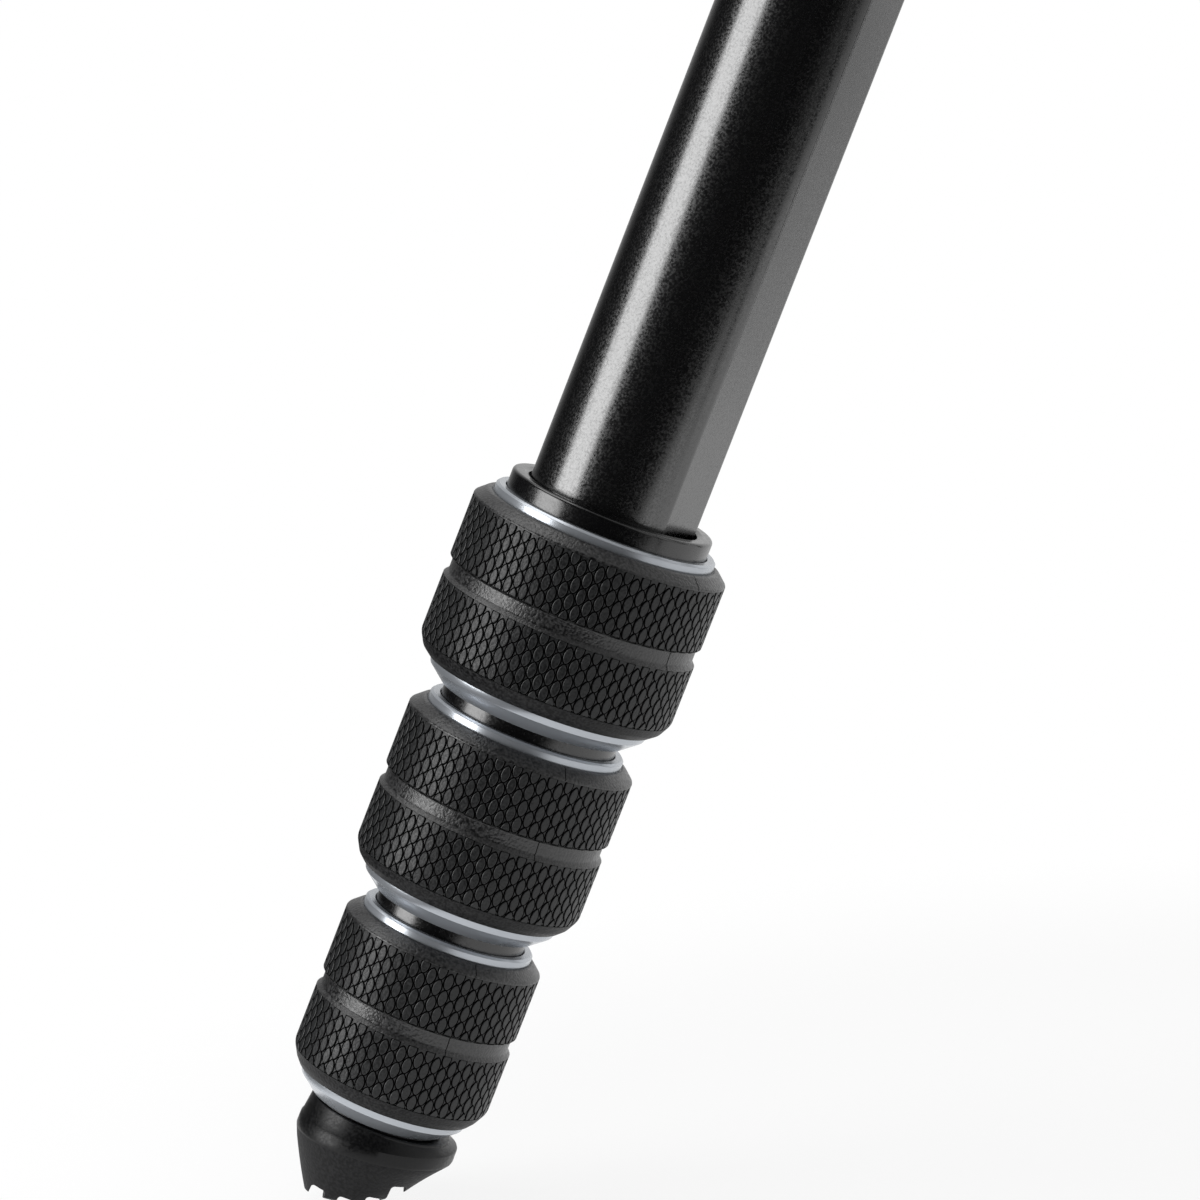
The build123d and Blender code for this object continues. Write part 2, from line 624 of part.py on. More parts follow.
def pan_body():
    """The part of the head that pans, with the drum that the cradle tilts on."""
    top = PAN_BODY_Z + PAN_BODY_HEIGHT
    disc = turned(
        [
            (0, PAN_BODY_Z),
            (PAN_RADIUS, PAN_BODY_Z),
            (PAN_RADIUS, top - PAN_CHAMFER),
            (PAN_RADIUS - PAN_CHAMFER, top),
            (0, top),
        ]
    )
    block = prism(Rectangle(PAN_BLOCK_LENGTH, PAN_BLOCK_WIDTH), top, TILT_Z)
    drum = Pos(0, 0, TILT_Z) * across(Circle(DRUM_RADIUS), -DRUM_WIDTH / 2, DRUM_WIDTH / 2)
    body = disc + block + drum
    spindle_top = PAN_Z + PAN_BASE_HEIGHT + PAN_SPINDLE_HEIGHT
    body -= prism(Circle(PAN_SPINDLE_RADIUS + RUNNING), PAN_BODY_Z - OVERRUN, spindle_top + FREE)
    body -= Pos(0, 0, TILT_Z) * across(Circle(TILT_SHAFT_RADIUS + RUNNING), -DRUM_WIDTH, DRUM_WIDTH)
    stud = prism(Circle(PAN_STUD_RADIUS), PAN_STUD_ROOT, PAN_RADIUS + PAN_STUD_LENGTH)
    return body + pan_knob_place() * stud


def pan_knob_place():
    """Where the pan lock's axis lies: Z points out of the pan body."""
    middle = PAN_BODY_Z + PAN_BODY_HEIGHT / 2
    return Pos(0, 0, middle) * Rot(0, 0, PAN_KNOB_AZIMUTH) * Rot(0, 90, 0)


def pan_knob():
    """The pan lock's knob on its stud."""
    depth = PAN_STUD_LENGTH + FREE
    knob = fluted_knob(PAN_KNOB_RADIUS, PAN_KNOB_LENGTH, PAN_STUD_RADIUS + RUNNING, depth)
    return pan_knob_place() * Pos(0, 0, PAN_RADIUS + FREE) * knob


def cradle_rail():
    """The dovetail rail along the +Y edge of the platform."""
    outer = CHEEK_OUTER
    inner = outer - RAIL_TOP_WIDTH
    outline = Polyline(
        (outer, DECK_Z),
        (outer, DECK_Z + RAIL_HEIGHT),
        (inner - RAIL_SLOPE, DECK_Z + RAIL_HEIGHT),
        (inner, DECK_Z),
        close=True,
    )
    rail = extrude(Plane.YZ * make_face(outline), PLATFORM_LENGTH)
    return Pos(-PLATFORM_LENGTH / 2, 0, 0) * rail


def lever_place():
    """Where the plate lock's pivot stands on the platform's shelf."""
    shelf_top = TILT_Z + PLATFORM_BOTTOM + LEVER_SHELF_HEIGHT
    return Pos(LEVER_PIVOT_X, -CHEEK_OUTER - LEVER_PIVOT_OUT, shelf_top)


def tilt_cradle():
    """The tilting cradle: two cheeks, the shaft through the drum, the platform and its rails."""
    neck_height = PLATFORM_BOTTOM + PLATFORM_THICKNESS
    neck = Pos(0, neck_height / 2) * Rectangle(2 * CHEEK_RADIUS, neck_height)
    cheek = across(Circle(CHEEK_RADIUS) + neck, CHEEK_INNER, CHEEK_OUTER)
    tilting = cheek + mirror(cheek, Plane.XZ)
    tilting += across(Circle(TILT_SHAFT_RADIUS), -CHEEK_OUTER, CHEEK_OUTER)
    tilting += across(Circle(TILT_STUD_RADIUS), -CHEEK_OUTER - TILT_STUD_LENGTH, 0)
    platform = Rectangle(PLATFORM_LENGTH, 2 * CHEEK_OUTER)
    tilting += prism(platform, PLATFORM_BOTTOM, PLATFORM_BOTTOM + PLATFORM_THICKNESS)
    boss = Pos(BAR_PIVOT_X, BAR_PIVOT_Z) * Circle(BAR_CLAMP_RADIUS)
    bolt = Pos(BAR_PIVOT_X, BAR_PIVOT_Z) * Circle(BAR_BOLT_RADIUS)
    tilting += across(boss, CHEEK_INNER, CHEEK_OUTER + BAR_BOSS_HEIGHT)
    bolt_end = BAR_CLAMP_Y + BAR_CLAMP_WIDTH + FREE + BAR_KNOB_LENGTH / 2
    tilting += across(bolt, CHEEK_OUTER, bolt_end)
    body = Pos(0, 0, TILT_Z) * tilting
    rail = cradle_rail()
    body += rail + mirror(rail, Plane.XZ)
    shelf = prism(Circle(LEVER_BOSS_RADIUS), -LEVER_SHELF_HEIGHT, 0)
    web = Pos(0, LEVER_PIVOT_OUT / 2) * Rectangle(2 * LEVER_BOSS_RADIUS, LEVER_PIVOT_OUT)
    shelf += prism(web, -LEVER_SHELF_HEIGHT, 0)
    shelf += prism(Circle(LEVER_PIN_RADIUS), 0, LEVER_HEIGHT + LEVER_PIN_STANDS)
    return body + lever_place() * shelf


def tilt_knob():
    """The tilt lock's knob at the -Y end of the tilt shaft."""
    depth = TILT_STUD_LENGTH + FREE
    knob = fluted_knob(TILT_KNOB_RADIUS, TILT_KNOB_LENGTH, TILT_STUD_RADIUS + RUNNING, depth)
    return Pos(0, -CHEEK_OUTER - FREE, TILT_Z) * Rot(90, 0, 0) * knob


def quick_release_plate():
    """The dovetail plate that slides between the rails, with the camera screw's slot and pocket."""
    low = DECK_Z + RUNNING
    waist = DECK_Z + RAIL_HEIGHT + FREE
    inner = CHEEK_OUTER - RAIL_TOP_WIDTH - FREE
    wide = Polyline(
        (-inner, low),
        (inner, low),
        (inner - RAIL_SLOPE, waist),
        (CHEEK_OUTER, waist),
        (CHEEK_OUTER, PLATE_TOP_Z - PLATE_DECK_CHAMFER),
        (CHEEK_OUTER - PLATE_DECK_CHAMFER, PLATE_TOP_Z),
        (-CHEEK_OUTER + PLATE_DECK_CHAMFER, PLATE_TOP_Z),
        (-CHEEK_OUTER, PLATE_TOP_Z - PLATE_DECK_CHAMFER),
        (-CHEEK_OUTER, waist),
        (-inner + RAIL_SLOPE, waist),
        close=True,
    )
    plate = Pos(-PLATE_LENGTH / 2, 0, 0) * extrude(Plane.YZ * make_face(wide), PLATE_LENGTH)
    slot = SlotOverall(SCREW_SLOT_LENGTH, 2 * (SCREW_RADIUS + RUNNING))
    pocket_top = low + SCREW_HEAD_HEIGHT + 2 * FREE
    pocket = SlotOverall(SCREW_SLOT_LENGTH + 2 * SCREW_HEAD_RADIUS, 2 * (SCREW_HEAD_RADIUS + FREE))
    plate -= prism(slot, low - OVERRUN, PLATE_TOP_Z + OVERRUN)
    return plate - prism(pocket, low - OVERRUN, pocket_top)


def plate_pads():
    """The two rubber strips on the quick-release plate."""
    middle = CHEEK_OUTER - PAD_MARGIN - PAD_WIDTH / 2
    strip = Rectangle(PLATE_LENGTH - 2 * PAD_MARGIN, PAD_WIDTH)
    pads = []
    for side in (-1, 1):
        pads.append(Pos(0, side * middle, 0) * prism(strip, PLATE_TOP_Z, PAD_TOP_Z))
    return pads


def camera_screw():
    """The 1/4 inch camera screw in the plate, with a coin slot under its head."""
    low = DECK_Z + RUNNING + FREE
    head = prism(Circle(SCREW_HEAD_RADIUS), low, low + SCREW_HEAD_HEIGHT)
    head -= Pos(0, 0, low) * Box(2 * SCREW_HEAD_RADIUS, SCREW_COIN_SLOT, 2 * SCREW_COIN_DEPTH)
    neck = prism(Circle(SCREW_NECK_RADIUS), low + SCREW_HEAD_HEIGHT, PAD_TOP_Z)
    return head + neck + prism(Circle(SCREW_RADIUS), PAD_TOP_Z, PAD_TOP_Z + SCREW_STANDS)


def plate_lever():
    """The plate lock's lever on its pivot, closed along the platform's side."""
    boss = prism(Circle(LEVER_BOSS_RADIUS), FREE, LEVER_HEIGHT)
    arm = Pos(LEVER_ARM_LENGTH / 2, -LEVER_BOSS_RADIUS + LEVER_ARM_WIDTH / 2) * Rectangle(
        LEVER_ARM_LENGTH, LEVER_ARM_WIDTH
    )
    lever = boss + prism(arm, LEVER_HEIGHT - LEVER_ARM_HEIGHT, LEVER_HEIGHT)
    lever -= prism(Circle(LEVER_PIN_RADIUS + PIN_CLEARANCE), -OVERRUN, LEVER_HEIGHT + OVERRUN)
    return lever_place() * lever


def bar_place():
    """Where the pan bar turns: X runs along the bar, drooping towards the person at the tripod."""
    return Pos(BAR_PIVOT_X, BAR_MIDDLE_Y, TILT_Z + BAR_PIVOT_Z) * Rot(0, BAR_DROOP, 0)


def bar_clamp():
    """The pan bar's clamp disc round its bolt, with the socket that holds the bar."""
    half = BAR_CLAMP_WIDTH / 2
    disc = across(Circle(BAR_CLAMP_RADIUS), -half, half)
    disc -= across(Circle(BAR_BOLT_RADIUS + PIN_CLEARANCE), -BAR_CLAMP_WIDTH, BAR_CLAMP_WIDTH)
    start = BAR_CLAMP_RADIUS - BAR_RADIUS
    disc -= Pos(start, 0, 0) * Rot(0, 90, 0) * prism(Circle(BAR_RADIUS), 0, BAR_LENGTH)
    return bar_place() * disc


def pan_bar():
    """The pan bar's tube."""
    start = BAR_CLAMP_RADIUS - BAR_RADIUS
    bar = Rot(0, 90, 0) * prism(Circle(BAR_RADIUS), start, BAR_LENGTH)
    return bar_place() * bar


def bar_grip():
    """The pan bar's ribbed grip, closed at its far end."""
    start = BAR_LENGTH - BAR_GRIP_DEPTH
    end = start + BAR_GRIP_LENGTH
    points = [
        (0, start),
        (BAR_GRIP_RADIUS - BAR_GRIP_RIB_WIDTH, start),
        (BAR_GRIP_RADIUS, start + BAR_GRIP_RIB_WIDTH),
    ]
    pitch = (BAR_GRIP_LENGTH - 2 * BAR_GRIP_RIB_WIDTH) / (BAR_GRIP_RIBS + 1)
    for rib in range(1, BAR_GRIP_RIBS + 1):
        middle = start + BAR_GRIP_RIB_WIDTH + rib * pitch
        points.append((BAR_GRIP_RADIUS, middle - BAR_GRIP_RIB_WIDTH / 2))
        points.append((BAR_GRIP_RADIUS - BAR_GRIP_RIB_DEPTH, middle))
        points.append((BAR_GRIP_RADIUS, middle + BAR_GRIP_RIB_WIDTH / 2))
    points.append((BAR_GRIP_RADIUS, end - BAR_GRIP_RIB_WIDTH))
    points.append((BAR_GRIP_RADIUS - BAR_GRIP_RIB_WIDTH, end))
    points.append((0, end))
    grip = turned(points) - prism(Circle(BAR_RADIUS), 0, BAR_LENGTH)
    return bar_place() * Rot(0, 90, 0) * grip


def bar_knob():
    """The knob that clamps the pan bar at its angle."""
    bore = BAR_BOLT_RADIUS + RUNNING
    knob = fluted_knob(BAR_KNOB_RADIUS, BAR_KNOB_LENGTH, bore, BAR_KNOB_LENGTH / 2 + FREE)
    outer_face = BAR_CLAMP_Y + BAR_CLAMP_WIDTH + FREE
    return Pos(BAR_PIVOT_X, outer_face, TILT_Z + BAR_PIVOT_Z) * Rot(-90, 0, 0) * knob


def leg_pieces():
    """Every piece of a leg at its own hinge, by node name."""
    pieces = {"knuckle": knuckle(), "latch": angle_latch(), "foot": foot()}
    for stage in range(TUBE_COUNT):
        pieces[f"tube_{stage + 1}"] = leg_tube(stage)
    for stage, diameter in enumerate(GRIP_DIAMETERS):
        place = Pos(0, 0, FERRULE_TOP_Z - stage * COLLAR_PITCH)
        radius = LEG_TUBE_RADII[stage]
        pieces[f"sleeve_{stage + 1}"] = place * collar_sleeve(radius, LEG_TUBE_RADII[stage + 1])
        pieces[f"grip_{stage + 1}"] = place * collar_grip(radius, diameter)
    return pieces


def centre_pieces():
    """Every piece of the crown, the column and the head from the hinges' height, by node name."""
    lock_place = Pos(0, 0, CROWN_TOP) * Rot(180, 0, 0)
    return {
        "crown": crown(),
        "bubble_level": bubble_level(),
        "column_lock_sleeve": lock_place * collar_sleeve(COLUMN_RADIUS, COLUMN_RADIUS),
        "column_lock_grip": lock_place * collar_grip(COLUMN_RADIUS, COLUMN_LOCK_DIAMETER),
        "centre_column": centre_column(),
        "head_plate": [head_plate(), head_stud()],
        "head_pad": head_pad(),
        "column_cap": column_cap(),
        "pan_base": pan_base(),
        "pan_body": pan_body(),
        "pan_knob": pan_knob(),
        "tilt_cradle": tilt_cradle(),
        "tilt_knob": tilt_knob(),
        "quick_release_plate": quick_release_plate(),
        "plate_pads": plate_pads(),
        "camera_screw": camera_screw(),
        "plate_lever": plate_lever(),
        "pan_bar": [bar_clamp(), pan_bar()],
        "bar_grip": bar_grip(),
        "bar_knob": bar_knob(),
    }


def write(name, piece, place):
    """Write one sub-part, which may be several solids, at its place in the tripod."""
    solids = piece if isinstance(piece, list) else [piece]
    placed = [solid for part in solids for solid in (place * part).solids()]
    export_step(Compound(placed), os.path.join("parts", f"{name}.step"))


def main():
    """Build and write every sub-part."""
    os.makedirs("parts", exist_ok=True)
    leg = leg_pieces()
    for number, azimuth in enumerate(LEG_AZIMUTHS, start=1):
        for name, piece in leg.items():
            write(f"leg_{number}_{name}", piece, leg_place(azimuth))
    pins = [leg_place(azimuth) * hinge_pin() for azimuth in LEG_AZIMUTHS]
    write("leg_hinge_pins", pins, Location())
    centre = Pos(0, 0, HINGE_HEIGHT)
    for name, piece in centre_pieces().items():
        write(name, piece, centre)
    print(f"Leg hinges at height {HINGE_HEIGHT:.4f}, tilt axis at {HINGE_HEIGHT + TILT_Z:.4f}")
    print(f"Plate top at {HINGE_HEIGHT + PLATE_TOP_Z:.4f}, pads' top at {HINGE_HEIGHT + PAD_TOP_Z:.4f}")


if __name__ == "__main__":
    main()
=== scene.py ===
"""Looks of a travel video tripod: legs with twist-lock collars, crown, column and pan and tilt head.

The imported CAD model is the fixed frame. Each leg's tubes, collars and foot are built here in detail at the
leg's own hinge, in millimetres with the leg hanging down -Z, and set where the frame's joints say.
"""

import json
import logging
import math
from dataclasses import dataclass, field
from enum import Enum, IntEnum

import bmesh
import bpy
from mathutils import Matrix, Vector

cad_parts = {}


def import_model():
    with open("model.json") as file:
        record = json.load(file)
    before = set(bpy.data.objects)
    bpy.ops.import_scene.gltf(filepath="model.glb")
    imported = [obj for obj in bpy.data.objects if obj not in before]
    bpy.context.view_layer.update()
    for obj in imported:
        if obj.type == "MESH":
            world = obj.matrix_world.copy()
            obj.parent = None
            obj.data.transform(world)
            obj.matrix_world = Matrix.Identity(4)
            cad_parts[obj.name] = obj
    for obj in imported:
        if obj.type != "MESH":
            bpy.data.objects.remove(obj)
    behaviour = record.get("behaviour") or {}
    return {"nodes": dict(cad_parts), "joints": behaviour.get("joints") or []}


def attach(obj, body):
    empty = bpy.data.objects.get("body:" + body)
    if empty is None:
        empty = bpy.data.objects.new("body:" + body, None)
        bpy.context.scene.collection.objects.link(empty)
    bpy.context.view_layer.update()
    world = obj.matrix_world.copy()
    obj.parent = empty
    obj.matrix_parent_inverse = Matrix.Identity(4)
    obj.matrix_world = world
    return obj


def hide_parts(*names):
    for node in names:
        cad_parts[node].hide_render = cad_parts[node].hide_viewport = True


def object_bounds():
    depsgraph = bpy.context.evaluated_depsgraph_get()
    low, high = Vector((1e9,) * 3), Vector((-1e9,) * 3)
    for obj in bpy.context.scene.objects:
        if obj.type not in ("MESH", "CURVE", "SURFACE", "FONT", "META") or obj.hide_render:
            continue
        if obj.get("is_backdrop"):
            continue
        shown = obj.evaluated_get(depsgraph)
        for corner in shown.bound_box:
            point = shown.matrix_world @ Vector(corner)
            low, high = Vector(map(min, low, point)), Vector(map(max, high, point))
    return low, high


LOG = logging.getLogger("tripod")
MM = 0.001
EDGE_RADIUS = 0.0004
JOIN_WITHIN_MM = 1e-5
TINY = 1e-3

Point2 = tuple[float, float]
Point3 = tuple[float, float, float]
Colour = tuple[float, float, float]


class Shading(Enum):
    """How sharply a mesh's edges show."""

    SOFT = 60.0
    CRISP = 30.0


class Grain(Enum):
    """What a finish's grain follows: the place in the piece as drawn, or the place in the whole tripod."""

    DRAWN = "drawn_place"
    WHOLE = "Object"


class TubeSlot(IntEnum):
    """A tube's material slots."""

    TUBE = 0
    FERRULE = 1


class GripSlot(IntEnum):
    """A grip's material slots."""

    BODY = 0
    SCALE = 1
    # Painted shade: a near-black, dull rubber on the scales' roots, moats and walls and in the mould seam,
    # standing in for the shade in these recesses.
    PAINTED_SHADE = 2
    # Painted shade: a duller, slightly darker copy of the body rubber on the lower turn-in, so that it
    # mirrors less of the floor and looks shaded.
    UNDER_SHADED = 3


class FootSlot(IntEnum):
    """A foot's material slots."""

    TOP = 0
    TREAD = 1


def worked(
    tree: bpy.types.NodeTree,
    operation: str,
    first: bpy.types.NodeSocket,
    second: bpy.types.NodeSocket | float,
) -> bpy.types.NodeSocket:
    """Two values made into one by a math node.

    Args:
        tree: The node tree.
        operation: The math node's operation.
        first: The first value.
        second: The second value, or a constant.

    Returns:
        The result.
    """
    node = tree.nodes.new("ShaderNodeMath")
    node.operation = operation
    tree.links.new(first, node.inputs[0])
    if isinstance(second, float):
        node.inputs[1].default_value = second
    else:
        tree.links.new(second, node.inputs[1])
    return node.outputs[0]


class NodeSheet:
    """A material's node tree with short calls for the nodes that the finishes share."""

    SPECKLES = (0.36, 0.66)
    WORN = (0.99, 0.8)

    def __init__(self, name: str, grain: Grain = Grain.WHOLE) -> None:
        """Start a material with one Principled shader.

        Args:
            name: The material's name.
            grain: What its grain follows.
        """
        self.grain = grain
        self.material = bpy.data.materials.new(name)
        self.material.use_nodes = True
        self.tree = self.material.node_tree
        self.shader = self.tree.nodes["Principled BSDF"]
        self.round = self.add("ShaderNodeBevel", Radius=EDGE_RADIUS) if grain is Grain.WHOLE else None

    def add(self, kind: str, **inputs: float) -> bpy.types.Node:
        """Add a node and set its named inputs.

        Args:
            kind: The node's class name.
            **inputs: Values by input name, with spaces written as underscores.

        Returns:
            The new node.
        """
        node = self.tree.nodes.new(kind)
        for name, value in inputs.items():
            node.inputs[name.replace("_", " ")].default_value = value
        return node

    def link(self, source: bpy.types.NodeSocket, target: bpy.types.NodeSocket) -> None:
        """Join two sockets."""
        self.tree.links.new(source, target)

    def set(self, **inputs: object) -> None:
        """Set constants on the shader's own sockets.

        Args:
            **inputs: Values by socket name, with spaces written as underscores.
        """
        for name, value in inputs.items():
            self.shader.inputs[name.replace("_", " ")].default_value = value

    def place(self, stretch: Point3 = (1.0, 1.0, 1.0)) -> bpy.types.NodeSocket:
        """The coordinates that the grain follows, stretched along each axis.

        Args:
            stretch: The factor along X, Y and Z.

        Returns:
            The stretched vector.
        """
        mapping = self.add("ShaderNodeMapping")
        mapping.inputs["Scale"].default_value = stretch
        if self.grain is Grain.DRAWN:
            source = self.add("ShaderNodeAttribute")
            source.attribute_name = self.grain.value
            self.link(source.outputs["Vector"], mapping.inputs["Vector"])
        else:
            source = self.add("ShaderNodeTexCoord")
            self.link(source.outputs[self.grain.value], mapping.inputs["Vector"])
        return mapping.outputs["Vector"]

    def noise(
        self, place: bpy.types.NodeSocket, scale: float = 1.0, detail: float = 1.0
    ) -> bpy.types.NodeSocket:
        """A noise value over the piece.

        Args:
            place: The coordinates.
            scale: The noise's scale per metre.
            detail: The number of finer layers.

        Returns:
            The noise factor, from 0 to 1.
        """
        node = self.add("ShaderNodeTexNoise", Scale=scale, Detail=detail)
        self.link(place, node.inputs["Vector"])
        return node.outputs["Fac"]

    def ramp(self, value: bpy.types.NodeSocket, low: float, high: float) -> bpy.types.NodeSocket:
        """A value from 0 to 1 spread over another range.

        Args:
            value: The value.
            low: What 0 becomes.
            high: What 1 becomes.

        Returns:
            The spread value.
        """
        node = self.add("ShaderNodeMapRange", To_Min=low, To_Max=high)
        self.link(value, node.inputs["Value"])
        return node.outputs["Result"]

    def sharpen(self, value: bpy.types.NodeSocket) -> bpy.types.NodeSocket:
        """A noise's middle range spread over 0 to 1, which makes speckles of it."""
        node = self.add("ShaderNodeMapRange", From_Min=self.SPECKLES[0], From_Max=self.SPECKLES[1])
        self.link(value, node.inputs["Value"])
        return node.outputs["Result"]

    def blend(self, value: bpy.types.NodeSocket, first: Colour, second: Colour) -> bpy.types.NodeSocket:
        """A colour between two by a value.

        Args:
            value: The value, from 0 to 1.
            first: The colour at 0.
            second: The colour at 1.

        Returns:
            The mixed colour.
        """
        node = self.add("ShaderNodeMix")
        node.data_type = "RGBA"
        colour_a, colour_b = [s for s in node.inputs if s.type == "RGBA"]
        colour_a.default_value = (*first, 1.0)
        colour_b.default_value = (*second, 1.0)
        self.link(value, node.inputs["Factor"])
        return [s for s in node.outputs if s.type == "RGBA"][0]

    def wear(self, patches: bpy.types.NodeSocket) -> bpy.types.NodeSocket:
        """How worn the surface is: fully at sharp edges, and more in some patches than in others.

        Args:
            patches: The patches, from 0 to 1.

        Returns:
            The wear, from 0 to 1.
        """
        surface = self.add("ShaderNodeNewGeometry")
        alike = self.add("ShaderNodeVectorMath")
        alike.operation = "DOT_PRODUCT"
        self.link(self.round.outputs["Normal"], alike.inputs[0])
        self.link(surface.outputs["Normal"], alike.inputs[1])
        edge = self.add("ShaderNodeMapRange", From_Min=self.WORN[0], From_Max=self.WORN[1])
        self.link(alike.outputs["Value"], edge.inputs["Value"])
        return worked(self.tree, "MULTIPLY", edge.outputs["Result"], patches)

    def bump(self, height: bpy.types.NodeSocket, strength: float, distance: float) -> None:
        """Raise the surface by a height.

        Args:
            height: The height, from 0 to 1.
            strength: How strongly the height shows.
            distance: The full height in metres.
        """
        node = self.add("ShaderNodeBump", Strength=strength, Distance=distance)
        self.link(height, node.inputs["Height"])
        if self.round:
            self.link(self.round.outputs["Normal"], node.inputs["Normal"])
        self.link(node.outputs["Normal"], self.shader.inputs["Normal"])


@dataclass(frozen=True)
class Anodised:
    """Smooth black anodised tube, with a faint bloom along the draw."""

    name: str
    colour: Colour
    bloom: Colour
    low_roughness: float
    high_roughness: float
    index: float
    grain: Grain
    draw: Point3 = (900.0, 900.0, 12.0)
    pitch: float = 3200.0
    relief: float = 0.12
    height: float = 0.00001

    def material(self) -> bpy.types.Material:
        """The finish as a material."""
        sheet = NodeSheet(self.name, self.grain)
        streaks = sheet.noise(sheet.place(self.draw), detail=4.0)
        grain = sheet.sharpen(sheet.noise(sheet.place(), self.pitch, detail=3.0))
        sheet.link(sheet.blend(streaks, self.colour, self.bloom), sheet.shader.inputs["Base Color"])
        sheet.link(
            sheet.ramp(grain, self.low_roughness, self.high_roughness), sheet.shader.inputs["Roughness"]
        )
        sheet.set(IOR=self.index)
        sheet.bump(grain, self.relief, self.height)
        return sheet.material


@dataclass(frozen=True)
class PowderCoat:
    """Black powder coat with a fine orange-peel grain and paler edges, on the castings."""

    name: str
    colour: Colour
    rubbed: Colour
    roughness: float
    pitch: float
    patches: float = 260.0
    smoother: float = 0.08
    rougher: float = 0.1
    shine: float = 0.4
    relief: float = 0.35
    height: float = 0.00006

    def material(self) -> bpy.types.Material:
        """The finish as a material."""
        sheet = NodeSheet(self.name)
        peel = sheet.noise(sheet.place(), self.pitch, detail=3.0)
        wear = sheet.wear(sheet.sharpen(sheet.noise(sheet.place(), self.patches, detail=4.0)))
        sheet.link(sheet.blend(wear, self.colour, self.rubbed), sheet.shader.inputs["Base Color"])
        sheet.link(
            sheet.ramp(peel, self.roughness - self.smoother, self.roughness + self.rougher),
            sheet.shader.inputs["Roughness"],
        )
        sheet.set(Specular_IOR_Level=self.shine)
        sheet.bump(peel, self.relief, self.height)
        return sheet.material


@dataclass(frozen=True)
class TurnedMetal:
    """Turned metal, with fine rings from the lathe, bare or under a satin finish."""

    name: str
    colour: Colour
    shade: Colour
    low_roughness: float
    high_roughness: float
    bare: float
    grain: Grain
    turning: Point3 = (60.0, 60.0, 9000.0)
    clouds: float = 150.0
    relief: float = 0.08
    height: float = 0.00002

    def material(self) -> bpy.types.Material:
        """The finish as a material."""
        sheet = NodeSheet(self.name, self.grain)
        rings = sheet.noise(sheet.place(self.turning), detail=3.0)
        cloud = sheet.noise(sheet.place(), self.clouds, detail=2.0)
        sheet.link(sheet.blend(cloud, self.colour, self.shade), sheet.shader.inputs["Base Color"])
        sheet.link(
            sheet.ramp(rings, self.low_roughness, self.high_roughness), sheet.shader.inputs["Roughness"]
        )
        sheet.set(Metallic=self.bare)
        sheet.bump(rings, self.relief, self.height)
        return sheet.material


@dataclass(frozen=True)
class MouldedRubber:
    """Moulded black rubber, with a sand-like grain of a given size."""

    name: str
    colour: Colour
    dust: Colour
    roughness: float
    pitch: float
    relief: float
    shine: float
    grain: Grain
    spread: float = 0.08
    height: float = 0.00003

    def material(self) -> bpy.types.Material:
        """The finish as a material."""
        sheet = NodeSheet(self.name, self.grain)
        speckle = sheet.sharpen(sheet.noise(sheet.place(), self.pitch))
        sheet.link(sheet.blend(speckle, self.colour, self.dust), sheet.shader.inputs["Base Color"])
        sheet.link(
            sheet.ramp(speckle, self.roughness - self.spread, self.roughness + self.spread),
            sheet.shader.inputs["Roughness"],
        )
        sheet.set(Specular_IOR_Level=self.shine)
        sheet.bump(speckle, self.relief, self.height)
        return sheet.material


@dataclass(frozen=True)
class LevelWindow:
    """The bubble level's clear window over its green fluid."""

    name: str
    fluid: Colour
    bubble: Colour
    clouds: float = 300.0
    roughness: float = 0.06
    coat_roughness: float = 0.03

    def material(self) -> bpy.types.Material:
        """The finish as a material."""
        sheet = NodeSheet(self.name)
        cloud = sheet.noise(sheet.place(), self.clouds)
        sheet.link(sheet.blend(cloud, self.fluid, self.bubble), sheet.shader.inputs["Base Color"])
        sheet.set(Roughness=self.roughness, Coat_Weight=1.0, Coat_Roughness=self.coat_roughness)
        return sheet.material


